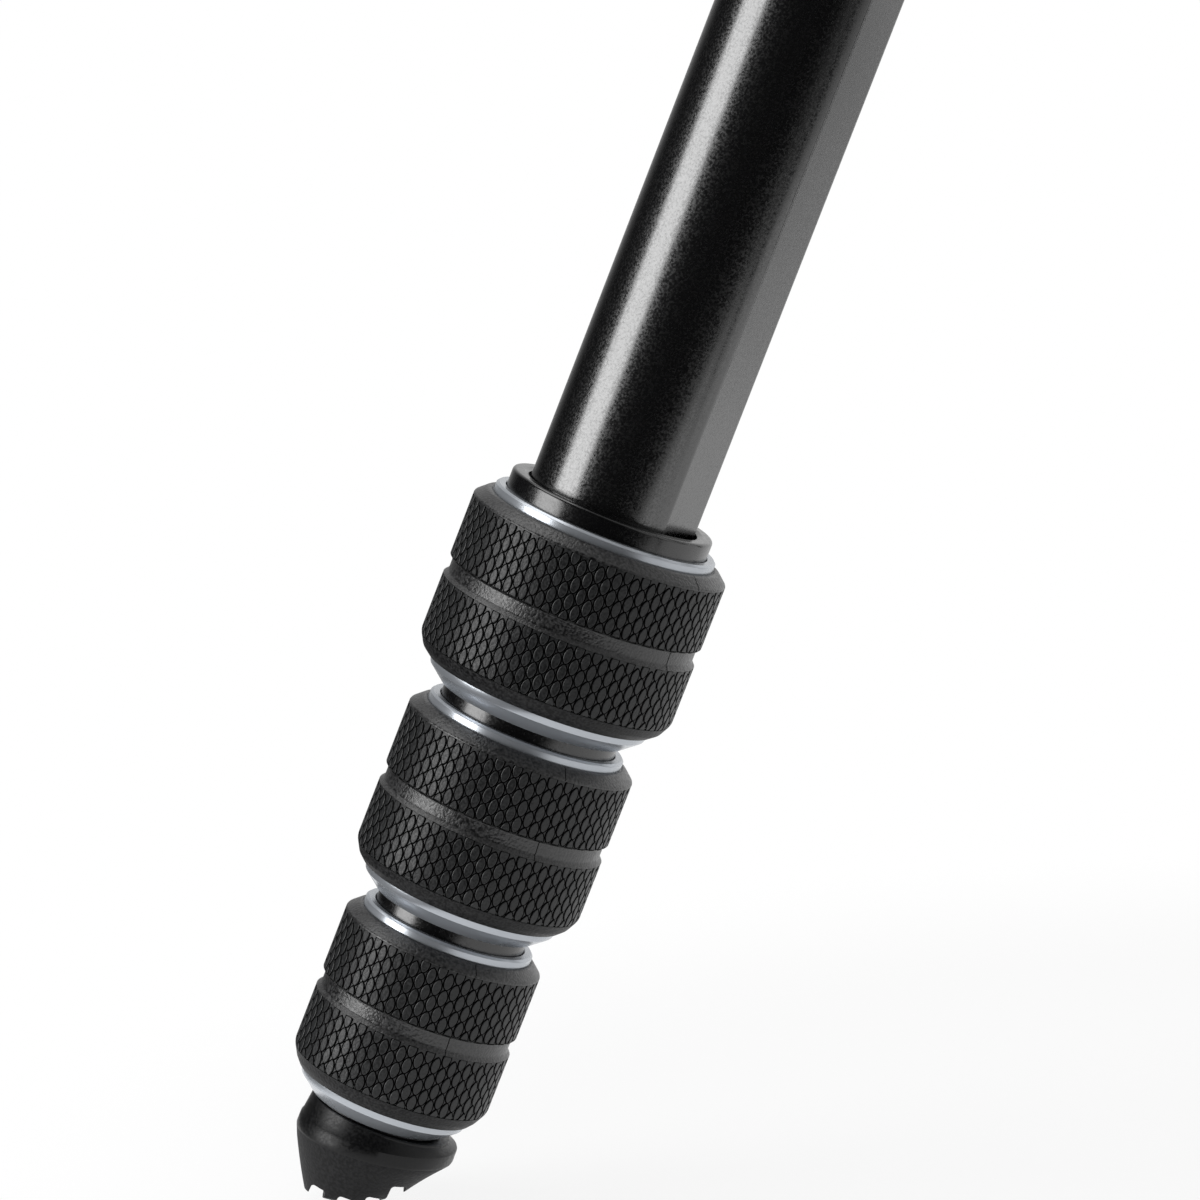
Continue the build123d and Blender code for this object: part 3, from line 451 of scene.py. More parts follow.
class Palette:
    """The tripod's finishes, made once."""

    BLACK = (0.0015, 0.0015, 0.0018)
    BLOOM = (0.004, 0.004, 0.0045)
    RUBBER = (0.002, 0.002, 0.0025)
    DUST = (0.035, 0.035, 0.036)
    DARK = (0.007, 0.007, 0.0075)

    def __init__(self) -> None:
        """Make every material."""
        self.tube = self.anodised("black_anodised_tube", (0.15, 0.32), 2.05, Grain.DRAWN)
        self.column = self.anodised("black_anodised_column", (0.2, 0.3), 1.8, Grain.WHOLE)
        self.ferrule = self.anodised("gloss_black_ferrule", (0.17, 0.28), 1.75, Grain.DRAWN)
        self.plate = self.anodised("gloss_black_plate", (0.2, 0.3), 1.7, Grain.WHOLE)
        self.casting = PowderCoat(
            "black_powder_coat",
            colour=(0.012, 0.012, 0.013),
            rubbed=(0.05, 0.05, 0.052),
            roughness=0.4,
            pitch=2600.0,
        ).material()
        silver, shade = (0.55, 0.58, 0.62), (0.47, 0.5, 0.54)
        self.silver = self.turned("silver_collar_metal", (silver, shade), (0.2, 0.3), 0.65, Grain.DRAWN)
        self.bright = self.turned("silver_lever_metal", (silver, shade), (0.3, 0.4), 0.7, Grain.WHOLE)
        steel, dim = (0.5, 0.5, 0.5), (0.42, 0.42, 0.43)
        self.steel = self.turned("plain_steel", (steel, dim), (0.25, 0.38), 1.0, Grain.WHOLE)
        self.add_grip_rubbers()
        self.foot_top = MouldedRubber(
            "foot_satin_rubber",
            colour=(0.003, 0.003, 0.0035),
            dust=self.DARK,
            roughness=0.38,
            pitch=3000.0,
            relief=0.12,
            shine=0.3,
            grain=Grain.DRAWN,
        ).material()
        self.foot_tread = MouldedRubber(
            "foot_matte_rubber",
            colour=(0.005, 0.005, 0.0055),
            dust=(0.022, 0.022, 0.023),
            roughness=0.6,
            pitch=2300.0,
            relief=0.8,
            shine=0.18,
            grain=Grain.DRAWN,
        ).material()
        self.pad = MouldedRubber(
            "pad_rubber",
            colour=self.DARK,
            dust=self.RUBBER,
            roughness=0.6,
            pitch=3000.0,
            relief=0.4,
            shine=0.35,
            grain=Grain.WHOLE,
        ).material()
        self.bar_grip = MouldedRubber(
            "bar_grip_foam",
            colour=self.RUBBER,
            dust=self.DUST,
            roughness=0.7,
            pitch=3000.0,
            relief=0.6,
            shine=0.35,
            grain=Grain.WHOLE,
        ).material()
        self.plastic = MouldedRubber(
            "knob_plastic",
            colour=self.DARK,
            dust=self.RUBBER,
            roughness=0.45,
            pitch=3600.0,
            relief=0.3,
            shine=0.4,
            grain=Grain.WHOLE,
        ).material()
        self.level = LevelWindow("level_window", fluid=(0.32, 0.6, 0.05), bubble=(0.4, 0.7, 0.1)).material()

    def anodised(self, name: str, roughness: Point2, index: float, grain: Grain) -> bpy.types.Material:
        """A black anodised finish.

        Args:
            name: The material's name.
            roughness: Its lowest and highest roughness.
            index: Its index of refraction.
            grain: What its grain follows.

        Returns:
            The material.
        """
        return Anodised(name, self.BLACK, self.BLOOM, *roughness, index, grain).material()

    def turned(
        self, name: str, colours: tuple[Colour, Colour], roughness: Point2, bare: float, grain: Grain
    ) -> bpy.types.Material:
        """A turned metal finish.

        Args:
            name: The material's name.
            colours: Its colour and its darker cloud.
            roughness: Its lowest and highest roughness.
            bare: How far it is bare metal, from 0 to 1.
            grain: What its grain follows.

        Returns:
            The material.
        """
        return TurnedMetal(name, *colours, *roughness, bare, grain).material()

    def add_grip_rubbers(self) -> None:
        """Make the four rubbers of the grips; two of them paint shade: a near-black, dull one in the recesses
        and a duller, slightly darker copy of the body rubber on the lower face.
        """
        self.grip_body = MouldedRubber(
            "grip_rubber",
            colour=self.RUBBER,
            dust=self.DUST,
            roughness=0.37,
            pitch=2800.0,
            relief=0.9,
            shine=0.8,
            grain=Grain.DRAWN,
        ).material()
        # Painted shade: the body rubber made duller and slightly darker for the grip's lower face.
        self.grip_under_shaded = MouldedRubber(
            "grip_shaded_under_rubber",
            colour=self.RUBBER,
            dust=(0.03, 0.03, 0.031),
            roughness=0.5,
            pitch=2800.0,
            relief=0.8,
            shine=0.2,
            grain=Grain.DRAWN,
        ).material()
        self.grip_scale = MouldedRubber(
            "grip_scale_rubber",
            colour=(0.007, 0.0075, 0.008),
            dust=(0.017, 0.018, 0.019),
            roughness=0.44,
            pitch=3000.0,
            relief=0.5,
            shine=0.5,
            grain=Grain.DRAWN,
        ).material()
        # Painted shade: near-black and nearly without shine, for the recesses round the scales and in the
        # seam.
        self.grip_painted_shade = MouldedRubber(
            "grip_painted_shade_rubber",
            colour=(0.001, 0.001, 0.001),
            dust=(0.002, 0.002, 0.002),
            roughness=0.9,
            pitch=6000.0,
            relief=0.2,
            shine=0.02,
            grain=Grain.DRAWN,
        ).material()


def rounded_outline(corners: list[tuple[float, float, float]], steps: int = 5) -> list[Point2]:
    """A closed outline with its corners rounded.

    Args:
        corners: Each corner's radius, height and rounding, in order.
        steps: Pieces in each rounded corner.

    Returns:
        The outline's points.
    """
    points = []
    for index, (x, z, rounding) in enumerate(corners):
        corner = Vector((x, z))
        before = Vector(corners[index - 1][:2]) - corner
        after = Vector(corners[(index + 1) % len(corners)][:2]) - corner
        turn = before.angle(after)
        if rounding <= 0 or turn > math.pi - 0.01:
            points.append((x, z))
            continue
        reach = rounding / math.tan(turn / 2)
        start = corner + before.normalized() * reach
        end = corner + after.normalized() * reach
        middle = (before.normalized() + after.normalized()).normalized()
        centre = corner + middle * (rounding / math.sin(turn / 2))
        spoke = start - centre
        sweep = spoke.angle_signed(end - centre)
        for step in range(steps + 1):
            angle = -sweep * step / steps
            turned = Matrix.Rotation(angle, 2) @ spoke
            points.append(tuple(centre + turned))
    return points


class Shape:
    """A mesh in the making, in millimetres."""

    def __init__(self) -> None:
        """Start an empty mesh."""
        self.bm = bmesh.new()

    def lathe(self, outline: list[Point2], segments: int, slot: int = 0) -> None:
        """Turn a closed outline about Z.

        Args:
            outline: The (radius, height) points.
            segments: Sides round the axis.
            slot: The material slot of the faces.
        """
        rings = []
        for segment in range(segments):
            angle = 2 * math.pi * segment / segments
            cosine, sine = math.cos(angle), math.sin(angle)
            rings.append([self.bm.verts.new((r * cosine, r * sine, z)) for r, z in outline])
        for segment, ring in enumerate(rings):
            following = rings[(segment + 1) % segments]
            self.bridge(ring, following, slot)

    def bridge(
        self, first: list[bmesh.types.BMVert], second: list[bmesh.types.BMVert], slot: int = 0
    ) -> None:
        """Join two closed loops of equal length with quads.

        Args:
            first: One loop.
            second: The other loop.
            slot: The material slot of the faces.
        """
        for index, corner in enumerate(first):
            after = (index + 1) % len(first)
            face = self.bm.faces.new((corner, second[index], second[after], first[after]))
            face.material_index = slot

    def stack(self, loops: list[list[Point3]], closed: bool = False, slots: tuple[int, ...] = (0,)) -> None:
        """Skin a run of loops of equal length.

        Args:
            loops: The loops, in order.
            closed: Whether the last loop joins the first; otherwise both ends are capped.
            slots: The material slot of each span; the last one holds for the rest.
        """
        made = [[self.bm.verts.new(point) for point in loop] for loop in loops]
        for span, (first, second) in enumerate(zip(made, made[1:])):
            self.bridge(first, second, slots[min(span, len(slots) - 1)])
        if closed:
            self.bridge(made[-1], made[0], slots[-1])
        else:
            self.bm.faces.new(made[0]).material_index = slots[0]
            self.bm.faces.new(list(reversed(made[-1]))).material_index = slots[-1]

    def refinish(self, reach: Point2, band: Point2, slot: int) -> None:
        """Give the faces in a ring about Z another slot.

        Args:
            reach: The ring's least and greatest radius.
            band: Its lowest and highest height.
            slot: The material slot.
        """
        for face in self.bm.faces:
            middle = face.calc_center_median()
            radius = math.hypot(middle.x, middle.y)
            if reach[0] < radius < reach[1] and band[0] < middle.z < band[1]:
                face.material_index = slot

    def mesh(self, name: str, shading: Shading, materials: list[bpy.types.Material]) -> bpy.types.Mesh:
        """Finish the mesh in metres.

        Args:
            name: The mesh's name.
            shading: How sharp its edges show.
            materials: Its materials, by slot.

        Returns:
            The mesh.
        """
        bmesh.ops.remove_doubles(self.bm, verts=self.bm.verts, dist=JOIN_WITHIN_MM)
        bmesh.ops.recalc_face_normals(self.bm, faces=self.bm.faces)
        bmesh.ops.scale(self.bm, vec=(MM, MM, MM), verts=self.bm.verts)
        mesh = bpy.data.meshes.new(name)
        self.bm.to_mesh(mesh)
        self.bm.free()
        mesh.shade_smooth()
        mesh.set_sharp_from_angle(angle=math.radians(shading.value))
        for material in materials:
            mesh.materials.append(material)
        keep_drawn_place(mesh)
        return mesh


def keep_drawn_place(mesh: bpy.types.Mesh) -> None:
    """Store where each point was drawn, for the grain, before the mesh goes to its place.

    Args:
        mesh: The mesh.
    """
    points = [value for vertex in mesh.vertices for value in vertex.co]
    drawn = mesh.attributes.new(Grain.DRAWN.value, "FLOAT_VECTOR", "POINT")
    drawn.data.foreach_set("vector", points)


def shown(
    name: str, mesh: bpy.types.Mesh, place: Matrix, body: str, node: str, slot: str
) -> bpy.types.Object:
    """Put a copy of a mesh in the scene as a piece of the tripod.

    Args:
        name: The piece's name.
        mesh: The mesh as drawn.
        place: Where its own origin goes.
        body: The CAD body that it moves with.
        node: The CAD node that it stands for.
        slot: The record's material slot that its finish is for; not used.

    Returns:
        The piece.
    """
    own = mesh.copy()
    own.name = name
    own.transform(place)
    piece = bpy.data.objects.new(name, own)
    bpy.context.scene.collection.objects.link(piece)
    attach(piece, body)
    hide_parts(node)
    return piece


@dataclass
class TubeSizes:
    """The leg tubes' sizes, in millimetres."""

    widest: float = 22.5
    wall: float = 1.2
    gap: float = 0.55
    flat_depth: float = 1.15
    flat_azimuth: float = 153.0
    edge_blend: float = 0.0875
    count: int = 4
    knuckle: float = 30.0
    socket: float = 11.0
    top_gap: float = 5.0
    shown: float = 223.0
    seen_point: float = 14.8
    foot_overlap: float = 8.0
    top_edge: float = 0.4
    lower_part: float = 40.0
    mouth: float = 1.0
    samples: int = 360

    def radius(self, stage: int) -> float:
        """A tube's outside radius."""
        return self.widest / 2 - stage * (self.wall + self.gap)

    def outline(self, stage: int, inset: float, height: float) -> list[Point3]:
        """A tube's outline with its two flats.

        Args:
            stage: Which tube, from 0 at the top.
            inset: How far inside the outer surface.
            height: The outline's height.

        Returns:
            The outline's points.
        """
        radius = self.radius(stage) - inset
        flat = radius - self.flat_depth
        points = []
        for sample in range(self.samples):
            angle = 2 * math.pi * sample / self.samples
            facing = abs(math.cos(angle - math.radians(self.flat_azimuth)))
            reach = flat / max(facing, TINY)
            lead = max(self.edge_blend - abs(reach - radius), 0.0) / self.edge_blend
            here = min(reach, radius) - lead * lead * self.edge_blend / 4
            points.append((here * math.cos(angle), here * math.sin(angle), height))
        return points


@dataclass
class CollarSizes:
    """A twist lock's sizes, in millimetres, with heights measured down from the ferrule's top."""

    ferrule_wall: float = 2.5
    ferrule_length: float = 15.0
    ferrule_recess: float = 1.3
    recess_width: float = 0.35
    recess_drop: float = 0.25
    recess_round: float = 0.15
    rim_width: float = 1.0
    rim_round: float = 0.25
    ferrule_round: float = 0.45
    ferrule_end_round: float = 0.2
    running: float = 0.1
    free: float = 0.3
    sleeve_wall: float = 1.25
    sleeve_top: float = 2.45
    sleeve_bevel: float = 0.3
    lip: float = 0.1
    hair: float = 0.02
    step: float = 0.04
    fine_round: float = 0.08
    soft_round: float = 0.12
    grip_top: float = 3.6
    grip_tuck: float = 0.05
    grip_edge: float = 0.3
    grip_edge_drop: float = 0.15
    shoulder_inset: float = 1.45
    shoulder_round: float = 0.9
    brow_rise: float = 0.2
    brow_round: float = 0.5
    full_from: float = 5.1
    groove_top: float = 13.5
    groove_floor_top: float = 13.8
    groove_floor_end: float = 15.55
    groove_end: float = 16.15
    groove_depth: float = 0.52
    groove_round_top: float = 0.15
    groove_round_end: float = 0.4
    fall_from: float = 23.7
    fall_steps: Point2 = (24.0, 24.25)
    fall: float = 0.19
    full_to: float = 24.5
    turn_in: float = 25.75
    turn_in_inset: float = 0.85
    turn_in_round: float = 1.0
    grip_end: float = 26.6
    grip_end_inset: float = 0.35
    grip_end_round: float = 0.3
    cone_break: float = 27.55
    cone_break_inset: float = 0.3
    sleeve_end: float = 29.4
    sleeve_edge: float = 0.3
    nest: float = 0.9
    collet: float = 6.0
    band_depth: float = 0.12
    scale_pitch: float = 2.27
    column_pitch: float = 1.22
    scale_half_width: float = 0.55
    scale_half_height: float = 1.07
    scale_points: int = 18
    scale_start: float = 0.2
    scale_least: float = 0.35
    scale_margin: float = 0.03
    scale_top_power: float = 1.4
    scale_end_power: float = 1.2
    scale_root: float = 0.05
    scale_flare: float = 0.17
    scale_skirt: float = 0.006
    scale_waist: float = 0.005
    scale_brow: float = 0.05
    scale_brow_inset: float = 0.015
    scale_face_inset: float = 0.095
    seam_from: float = 0.4
    seam_wave: float = 2.4
    seam_width: float = 0.1
    seam_proud: float = 0.02
    seam_sunk: float = 0.05
    seam_sway: float = 0.07
    segments: int = 192

    def pitch(self) -> float:
        """How far each collar stands below the one above when the leg is closed."""
        return self.sleeve_end - self.nest


@dataclass
class TwistCollar:
    """A twist lock: a metal sleeve with its ring and cone, and a rubber grip with two bands of scales."""

    tube_radius: float
    inner_radius: float
    diameter: float
    seam: float
    palette: Palette
    sizes: CollarSizes = field(default_factory=CollarSizes)

    def ferrule_radius(self) -> float:
        """The outside radius of the ferrule that the collar turns on."""
        return self.tube_radius + self.sizes.ferrule_wall

    def seat(self) -> float:
        """The radius on which the grip sits."""
        return self.ferrule_radius() + self.sizes.running + self.sizes.sleeve_wall

    def sleeve(self, name: str) -> bpy.types.Mesh:
        """The metal sleeve.

        Args:
            name: The mesh's name.

        Returns:
            The mesh, from the ferrule's top at Z=0 down.
        """
        s = self.sizes
        outer = self.seat()
        bore = self.ferrule_radius() + s.running
        nest = self.inner_radius + s.ferrule_wall + s.free
        passage = self.inner_radius + s.free
        shoulder = s.ferrule_length + s.collet + s.free
        nest_top = s.sleeve_end - s.nest - s.free
        outline = rounded_outline(
            [
                (bore, -s.sleeve_top - s.lip, 0.0),
                (bore + s.lip, -s.sleeve_top, 0.0),
                (outer - s.sleeve_bevel, -s.sleeve_top, s.fine_round),
                (outer, -s.sleeve_top - s.sleeve_bevel, s.soft_round),
                (outer, -s.grip_end - s.lip, 0.0),
                (outer - s.cone_break_inset, -s.cone_break, s.soft_round),
                (nest + s.sleeve_edge, -s.sleeve_end, s.lip),
                (nest, -s.sleeve_end, 0.0),
                (nest, -nest_top, 0.0),
                (passage, -nest_top, 0.0),
                (passage, -shoulder, 0.0),
                (bore, -shoulder, 0.0),
            ]
        )
        shape = Shape()
        shape.lathe(outline, s.segments)
        return shape.mesh(name, Shading.CRISP, [self.palette.silver])

    def grip(self, name: str) -> bpy.types.Mesh:
        """The rubber grip.

        Args:
            name: The mesh's name.

        Returns:
            The mesh, from the ferrule's top at Z=0 down.
        """
        s = self.sizes
        outer = self.diameter / 2
        seat = self.seat()
        floor = outer - s.band_depth
        shape = Shape()
        outline = self.grip_outline(seat, outer, floor)
        shape.lathe(outline, s.segments, GripSlot.BODY)
        bands = ((-s.full_from, -s.groove_top), (-s.groove_end, -s.full_to))
        for top, end in bands:
            shape.refinish((floor - s.fall - s.hair, floor + s.hair / 2), (end, top), GripSlot.SCALE)
        # Painted shade: the lower turn-in takes the duller, darker copy of the rubber.
        shape.refinish((seat, outer), (-s.grip_end - s.lip, -s.full_to), GripSlot.UNDER_SHADED)
        for top, end in bands:
            self.add_scales(shape, outer, floor, top, end)
        brow = [p for p in outline if -s.full_from < p[1] < -s.grip_top and p[0] > seat + s.seam_from]
        groove = [p for p in outline if -s.groove_end < p[1] < -s.groove_top]
        self.add_seam(shape, brow)
        self.add_seam(shape, groove)
        palette = self.palette
        finishes = [palette.grip_body, palette.grip_scale, palette.grip_painted_shade, palette.grip_under_shaded]
        return shape.mesh(name, Shading.CRISP, finishes)

    def grip_outline(self, seat: float, outer: float, floor: float) -> list[Point2]:
        """The grip's outline, with its chamfer, two bands, the groove between them and the worn lower edge.

        Args:
            seat: The radius on which the grip sits.
            outer: Its outside radius.
            floor: The radius of the bands' floor.

        Returns:
            The outline's points.
        """
        s = self.sizes
        return rounded_outline(
            [
                (seat - s.grip_tuck, -s.grip_top - s.grip_edge_drop, 0.0),
                (seat + s.lip, -s.grip_top - s.grip_edge_drop, 0.0),
                (seat + s.grip_edge, -s.grip_top, s.soft_round),
                (outer - s.shoulder_inset, -s.grip_top - s.hair, s.shoulder_round),
                (outer, -s.full_from + s.brow_rise, s.brow_round),
                (outer, -s.full_from, 0.0),
                (floor, -s.full_from - s.step, 0.0),
                (floor, -s.groove_top + s.step, 0.0),
                (outer, -s.groove_top, 0.0),
                (outer - s.groove_depth, -s.groove_floor_top, s.groove_round_top),
                (outer - s.groove_depth, -s.groove_floor_end, s.groove_round_end),
                (outer, -s.groove_end + s.hair, 0.0),
                (floor, -s.groove_end - s.step, 0.0),
                (floor, -s.fall_from, 0.0),
                *((floor - self.drawn_in(-drop), -drop, 0.0) for drop in s.fall_steps),
                (floor - s.fall, -s.full_to + s.step, 0.0),
                (outer - s.fall, -s.full_to, 0.0),
                (outer - s.turn_in_inset, -s.turn_in, s.turn_in_round),
                (seat + s.grip_end_inset, -s.grip_end, s.grip_end_round),
                (seat - s.grip_tuck, -s.grip_end, 0.0),
            ]
        )

    def drawn_in(self, height: float) -> float:
        """How far the grip's lower edge is drawn in.

        Args:
            height: The height down the grip.

        Returns:
            The distance, in millimetres.
        """
        s = self.sizes
        share = (-height - s.fall_from) / (s.full_to - s.fall_from)
        return s.fall * max(0.0, share) ** 2

    def add_seam(self, shape: Shape, path: list[Point2]) -> None:
        """Add the mould's parting line, a fine crack along part of the outline, darkened with painted shade
        by the near-black recess rubber.

        Args:
            shape: The mesh in the making.
            path: The outline's points that it follows.
        """
        s = self.sizes
        half = s.seam_width / 2
        corners = ((-half, s.seam_proud), (half, s.seam_proud), (half, -s.seam_sunk), (-half, -s.seam_sunk))
        loops = []
        for index, (radius, height) in enumerate(path):
            sway = s.seam_sway * math.sin(s.seam_wave * index)
            loop = []
            for across, rise in corners:
                angle = math.radians(self.seam) + (sway + across) / radius
                out = radius + rise
                loop.append((out * math.cos(angle), out * math.sin(angle), height))
            loops.append(loop)
        # Painted shade: the seam takes the near-black recess rubber.
        shape.stack(loops, slots=(GripSlot.PAINTED_SHADE,))

    def add_scales(self, shape: Shape, outer: float, floor: float, top: float, end: float) -> None:
        """Cover a band with staggered columns of pointed oval scales.

        Args:
            shape: The mesh in the making.
            outer: The radius of the scales' faces.
            floor: The radius of the band's floor.
            top: The band's top.
            end: The band's bottom.
        """
        s = self.sizes
        pairs = round(math.pi * outer / s.column_pitch)
        for column in range(2 * pairs):
            angle = math.pi * column / pairs
            height = top - (column % 2) * s.scale_pitch / 2 - s.scale_pitch * s.scale_start
            while height > end - s.scale_half_height:
                self.add_scale(shape, outer, floor, (angle, height), (top, end))
                height -= s.scale_pitch

    def add_scale(self, shape: Shape, outer: float, floor: float, place: Point2, band: Point2) -> None:
        """Add one scale, cut off at the band's edges.

        Args:
            shape: The mesh in the making.
            outer: The radius of the scale's face.
            floor: The radius of its foot.
            place: Its middle's angle round the axis and height.
            band: The band's top and bottom.
        """
        s = self.sizes
        angle, height = place
        top, end = band
        left = min(height + s.scale_half_height, top) - max(height - s.scale_half_height, end)
        if left < s.scale_least:
            return
        rims = []
        levels = (
            (floor - s.scale_root, -s.scale_flare),
            (floor + s.scale_skirt, -s.scale_flare),
            (floor + s.scale_skirt, -s.scale_waist),
            (outer - s.scale_brow, s.scale_brow_inset),
            (outer, s.scale_face_inset),
        )
        for radius, inset in levels:
            rim = []
            for index in range(s.scale_points):
                turn = 2 * math.pi * index / s.scale_points
                sine, cosine = math.sin(turn), math.cos(turn)
                power = s.scale_top_power if cosine > 0 else s.scale_end_power
                across = (s.scale_half_width - inset) * math.copysign(abs(sine) ** power, sine)
                along = height + (s.scale_half_height - inset) * cosine
                along = min(max(along, end + s.scale_margin + inset), top - s.scale_margin - inset)
                here = angle + across / outer
                out = radius - self.drawn_in(along)
                rim.append((out * math.cos(here), out * math.sin(here), along))
            rims.append(rim)
        # Painted shade: the root, moat and wall of each scale take the near-black recess rubber; only the
        # face takes the scale rubber.
        shape.stack(rims, slots=(GripSlot.PAINTED_SHADE, GripSlot.PAINTED_SHADE, GripSlot.PAINTED_SHADE, GripSlot.SCALE))


@dataclass
class FootSizes:
    """The rubber foot's sizes, in millimetres, with heights measured down from the foot's start."""

    neck_radius: float = 9.6
    neck_shift: float = 0.7
    neck_top: float = 1.2
    neck_end: float = 1.5
    neck_bevel: float = 0.12
    ridge_radius: float = 10.6
    ridge_shift: float = 1.1
    ridge_height: float = 2.0
    ridge_drop: float = 5.0
    ridge_tilt: float = 6.5
    ridge_top_inset: float = 0.18
    ridge_bevel: float = 0.25
    ridge_lean: float = 0.03
    ridge_end_drop: float = 0.05
    ridge_end_inset: float = 0.1
    tread_drop: float = 11.4
    tread_shift: float = 1.1
    tread_radius: float = 7.0
    dome_radius: float = 14.5
    notches: tuple[Point2, ...] = ((-4.8, 2.8), (-1.75, 2.05), (1.91, 2.05), (5.49, 2.1))
    notch_width: float = 2.0
    notch_round: float = 0.5
    notch_below: float = 3.0
    notch_past: float = 4.0
    edge_bevel: float = 0.12
    edge_angle: float = 35.0
    cone_steps: int = 6
    dome_steps: int = 8
    segments: int = 96


@dataclass
class Foot:
    """The rubber foot with a toothed tread."""

    palette: Palette
    boss_radius: float
    spread: float
    sizes: FootSizes = field(default_factory=FootSizes)

    def loop(self, shift: float, drop: float, tilt: float, radius: float) -> list[Point3]:
        """A tilted round section.

        Args:
            shift: How far its middle lies from the leg's axis, towards -X.
            drop: How far its middle lies below the foot's start.
            tilt: Its tilt about Y, in degrees.
            radius: Its radius.

        Returns:
            The section's points.
        """
        turn = Matrix.Rotation(math.radians(tilt), 4, "Y")
        points = []
        for segment in range(self.sizes.segments):
            angle = 2 * math.pi * segment / self.sizes.segments
            spoke = turn @ Vector((radius * math.cos(angle), radius * math.sin(angle), 0.0))
            points.append((spoke.x - shift, spoke.y, spoke.z - drop))
        return points

    def body_shape(self) -> Shape:
        """The foot before its tread is cut."""
        s = self.sizes
        ridge_top = s.ridge_drop - s.ridge_height
        loops = [
            self.loop(0.0, 0.0, 0.0, self.boss_radius),
            self.loop(0.0, s.neck_top, 0.0, self.boss_radius),
            self.loop(s.neck_shift, s.neck_top, 0.0, s.neck_radius - s.neck_bevel),
            self.loop(s.neck_shift, s.neck_top + s.neck_bevel, 0.0, s.neck_radius),
            self.loop(s.neck_shift, s.neck_end, 0.0, s.neck_radius),
        ]
        ridge = (
            (ridge_top, s.ridge_top_inset),
            (ridge_top + s.ridge_bevel, s.ridge_lean),
            (s.ridge_drop - s.ridge_bevel, 0.0),
            (s.ridge_drop + s.ridge_end_drop, s.ridge_end_inset),
        )
        for drop, inset in ridge:
            loops.append(self.loop(s.ridge_shift, drop, s.ridge_tilt, s.ridge_radius - inset))
        upper = len(loops) - 1
        for step in range(1, s.cone_steps + 1):
            share = step / s.cone_steps
            tilt = s.ridge_tilt + (self.spread - s.ridge_tilt) * share
            radius = s.ridge_radius + (s.tread_radius - s.ridge_radius) * share
            drop = s.ridge_drop + (s.tread_drop - s.ridge_drop) * share
            shift = s.ridge_shift + (s.tread_shift - s.ridge_shift) * share
            loops.append(self.loop(shift, drop, tilt, radius))
        loops += self.dome_loops()
        shape = Shape()
        shape.stack(loops, slots=(FootSlot.TOP,) * upper + (FootSlot.TREAD,))
        return shape

    def dome_loops(self) -> list[list[Point3]]:
        """The tread's domed underside as shrinking sections."""
        s = self.sizes
        normal = Matrix.Rotation(math.radians(self.spread), 4, "Y") @ Vector((0.0, 0.0, -1.0))
        lift = math.sqrt(s.dome_radius**2 - s.tread_radius**2)
        loops = []
        for step in range(1, s.dome_steps):
            radius = s.tread_radius * (1 - step / s.dome_steps)
            depth = math.sqrt(s.dome_radius**2 - radius**2) - lift
            shift = s.tread_shift - normal.x * depth
            loops.append(self.loop(shift, s.tread_drop - normal.z * depth, self.spread, radius))
        return loops

    def notch_shape(self) -> Shape:
        """The bars that cut the notches across the tread, drawn at the tread's middle."""
        s = self.sizes
        dome = s.dome_radius - math.sqrt(s.dome_radius**2 - s.tread_radius**2)
        half, reach = s.notch_width / 2, s.tread_radius + s.notch_past
        shape = Shape()
        for offset, depth in s.notches:
            rise = s.dome_radius - math.sqrt(s.dome_radius**2 - offset**2) - dome
            upright = Matrix.Rotation(math.radians(-self.spread), 4, "Y")
            upright = Matrix.Translation((offset, 0, rise)) @ upright
            section = rounded_outline(
                [
                    (-half, -s.notch_below, 0.0),
                    (half, -s.notch_below, 0.0),
                    (half, depth, s.notch_round),
                    (-half, depth, s.notch_round),
                ]
            )
            sides = [[tuple(upright @ Vector((x, y, z))) for x, z in section] for y in (-reach, reach)]
            shape.stack(sides, slots=(FootSlot.TREAD,))
        return shape

    def mesh(self, name: str) -> bpy.types.Mesh:
        """The whole foot.

        Args:
            name: The mesh's name.

        Returns:
            The mesh, from the foot's start at Z=0 down.
        """
        s = self.sizes
        finishes = [self.palette.foot_top, self.palette.foot_tread]
        blank_mesh = self.body_shape().mesh("foot_blank", Shading.CRISP, finishes)
        blank = bpy.data.objects.new("foot_blank", blank_mesh)
        bpy.context.scene.collection.objects.link(blank)
        cutter_mesh = self.notch_shape().mesh("foot_cutter", Shading.CRISP, finishes)
        cutter = bpy.data.objects.new("foot_cutter", cutter_mesh)
        bpy.context.scene.collection.objects.link(cutter)
        lean = Matrix.Rotation(math.radians(self.spread), 4, "Y")
        cutter.matrix_world = Matrix.Translation((-s.tread_shift * MM, 0, -s.tread_drop * MM)) @ lean
        cut = blank.modifiers.new("notches", "BOOLEAN")
        cut.operation = "DIFFERENCE"
        cut.solver = "EXACT"
        cut.object = cutter
        bevel = blank.modifiers.new("edges", "BEVEL")
        bevel.width = s.edge_bevel * MM
        bevel.segments = 2
        bevel.limit_method = "ANGLE"
        bevel.angle_limit = math.radians(s.edge_angle)
        bpy.context.view_layer.update()
        mesh = bpy.data.meshes.new_from_object(blank.evaluated_get(bpy.context.evaluated_depsgraph_get()))
        mesh.name = name
        mesh.attributes.remove(mesh.attributes[Grain.DRAWN.value])
        keep_drawn_place(mesh)
        mesh.shade_smooth()
        mesh.set_sharp_from_angle(angle=math.radians(Shading.CRISP.value))
        bpy.data.objects.remove(blank)
        bpy.data.objects.remove(cutter)
        return mesh


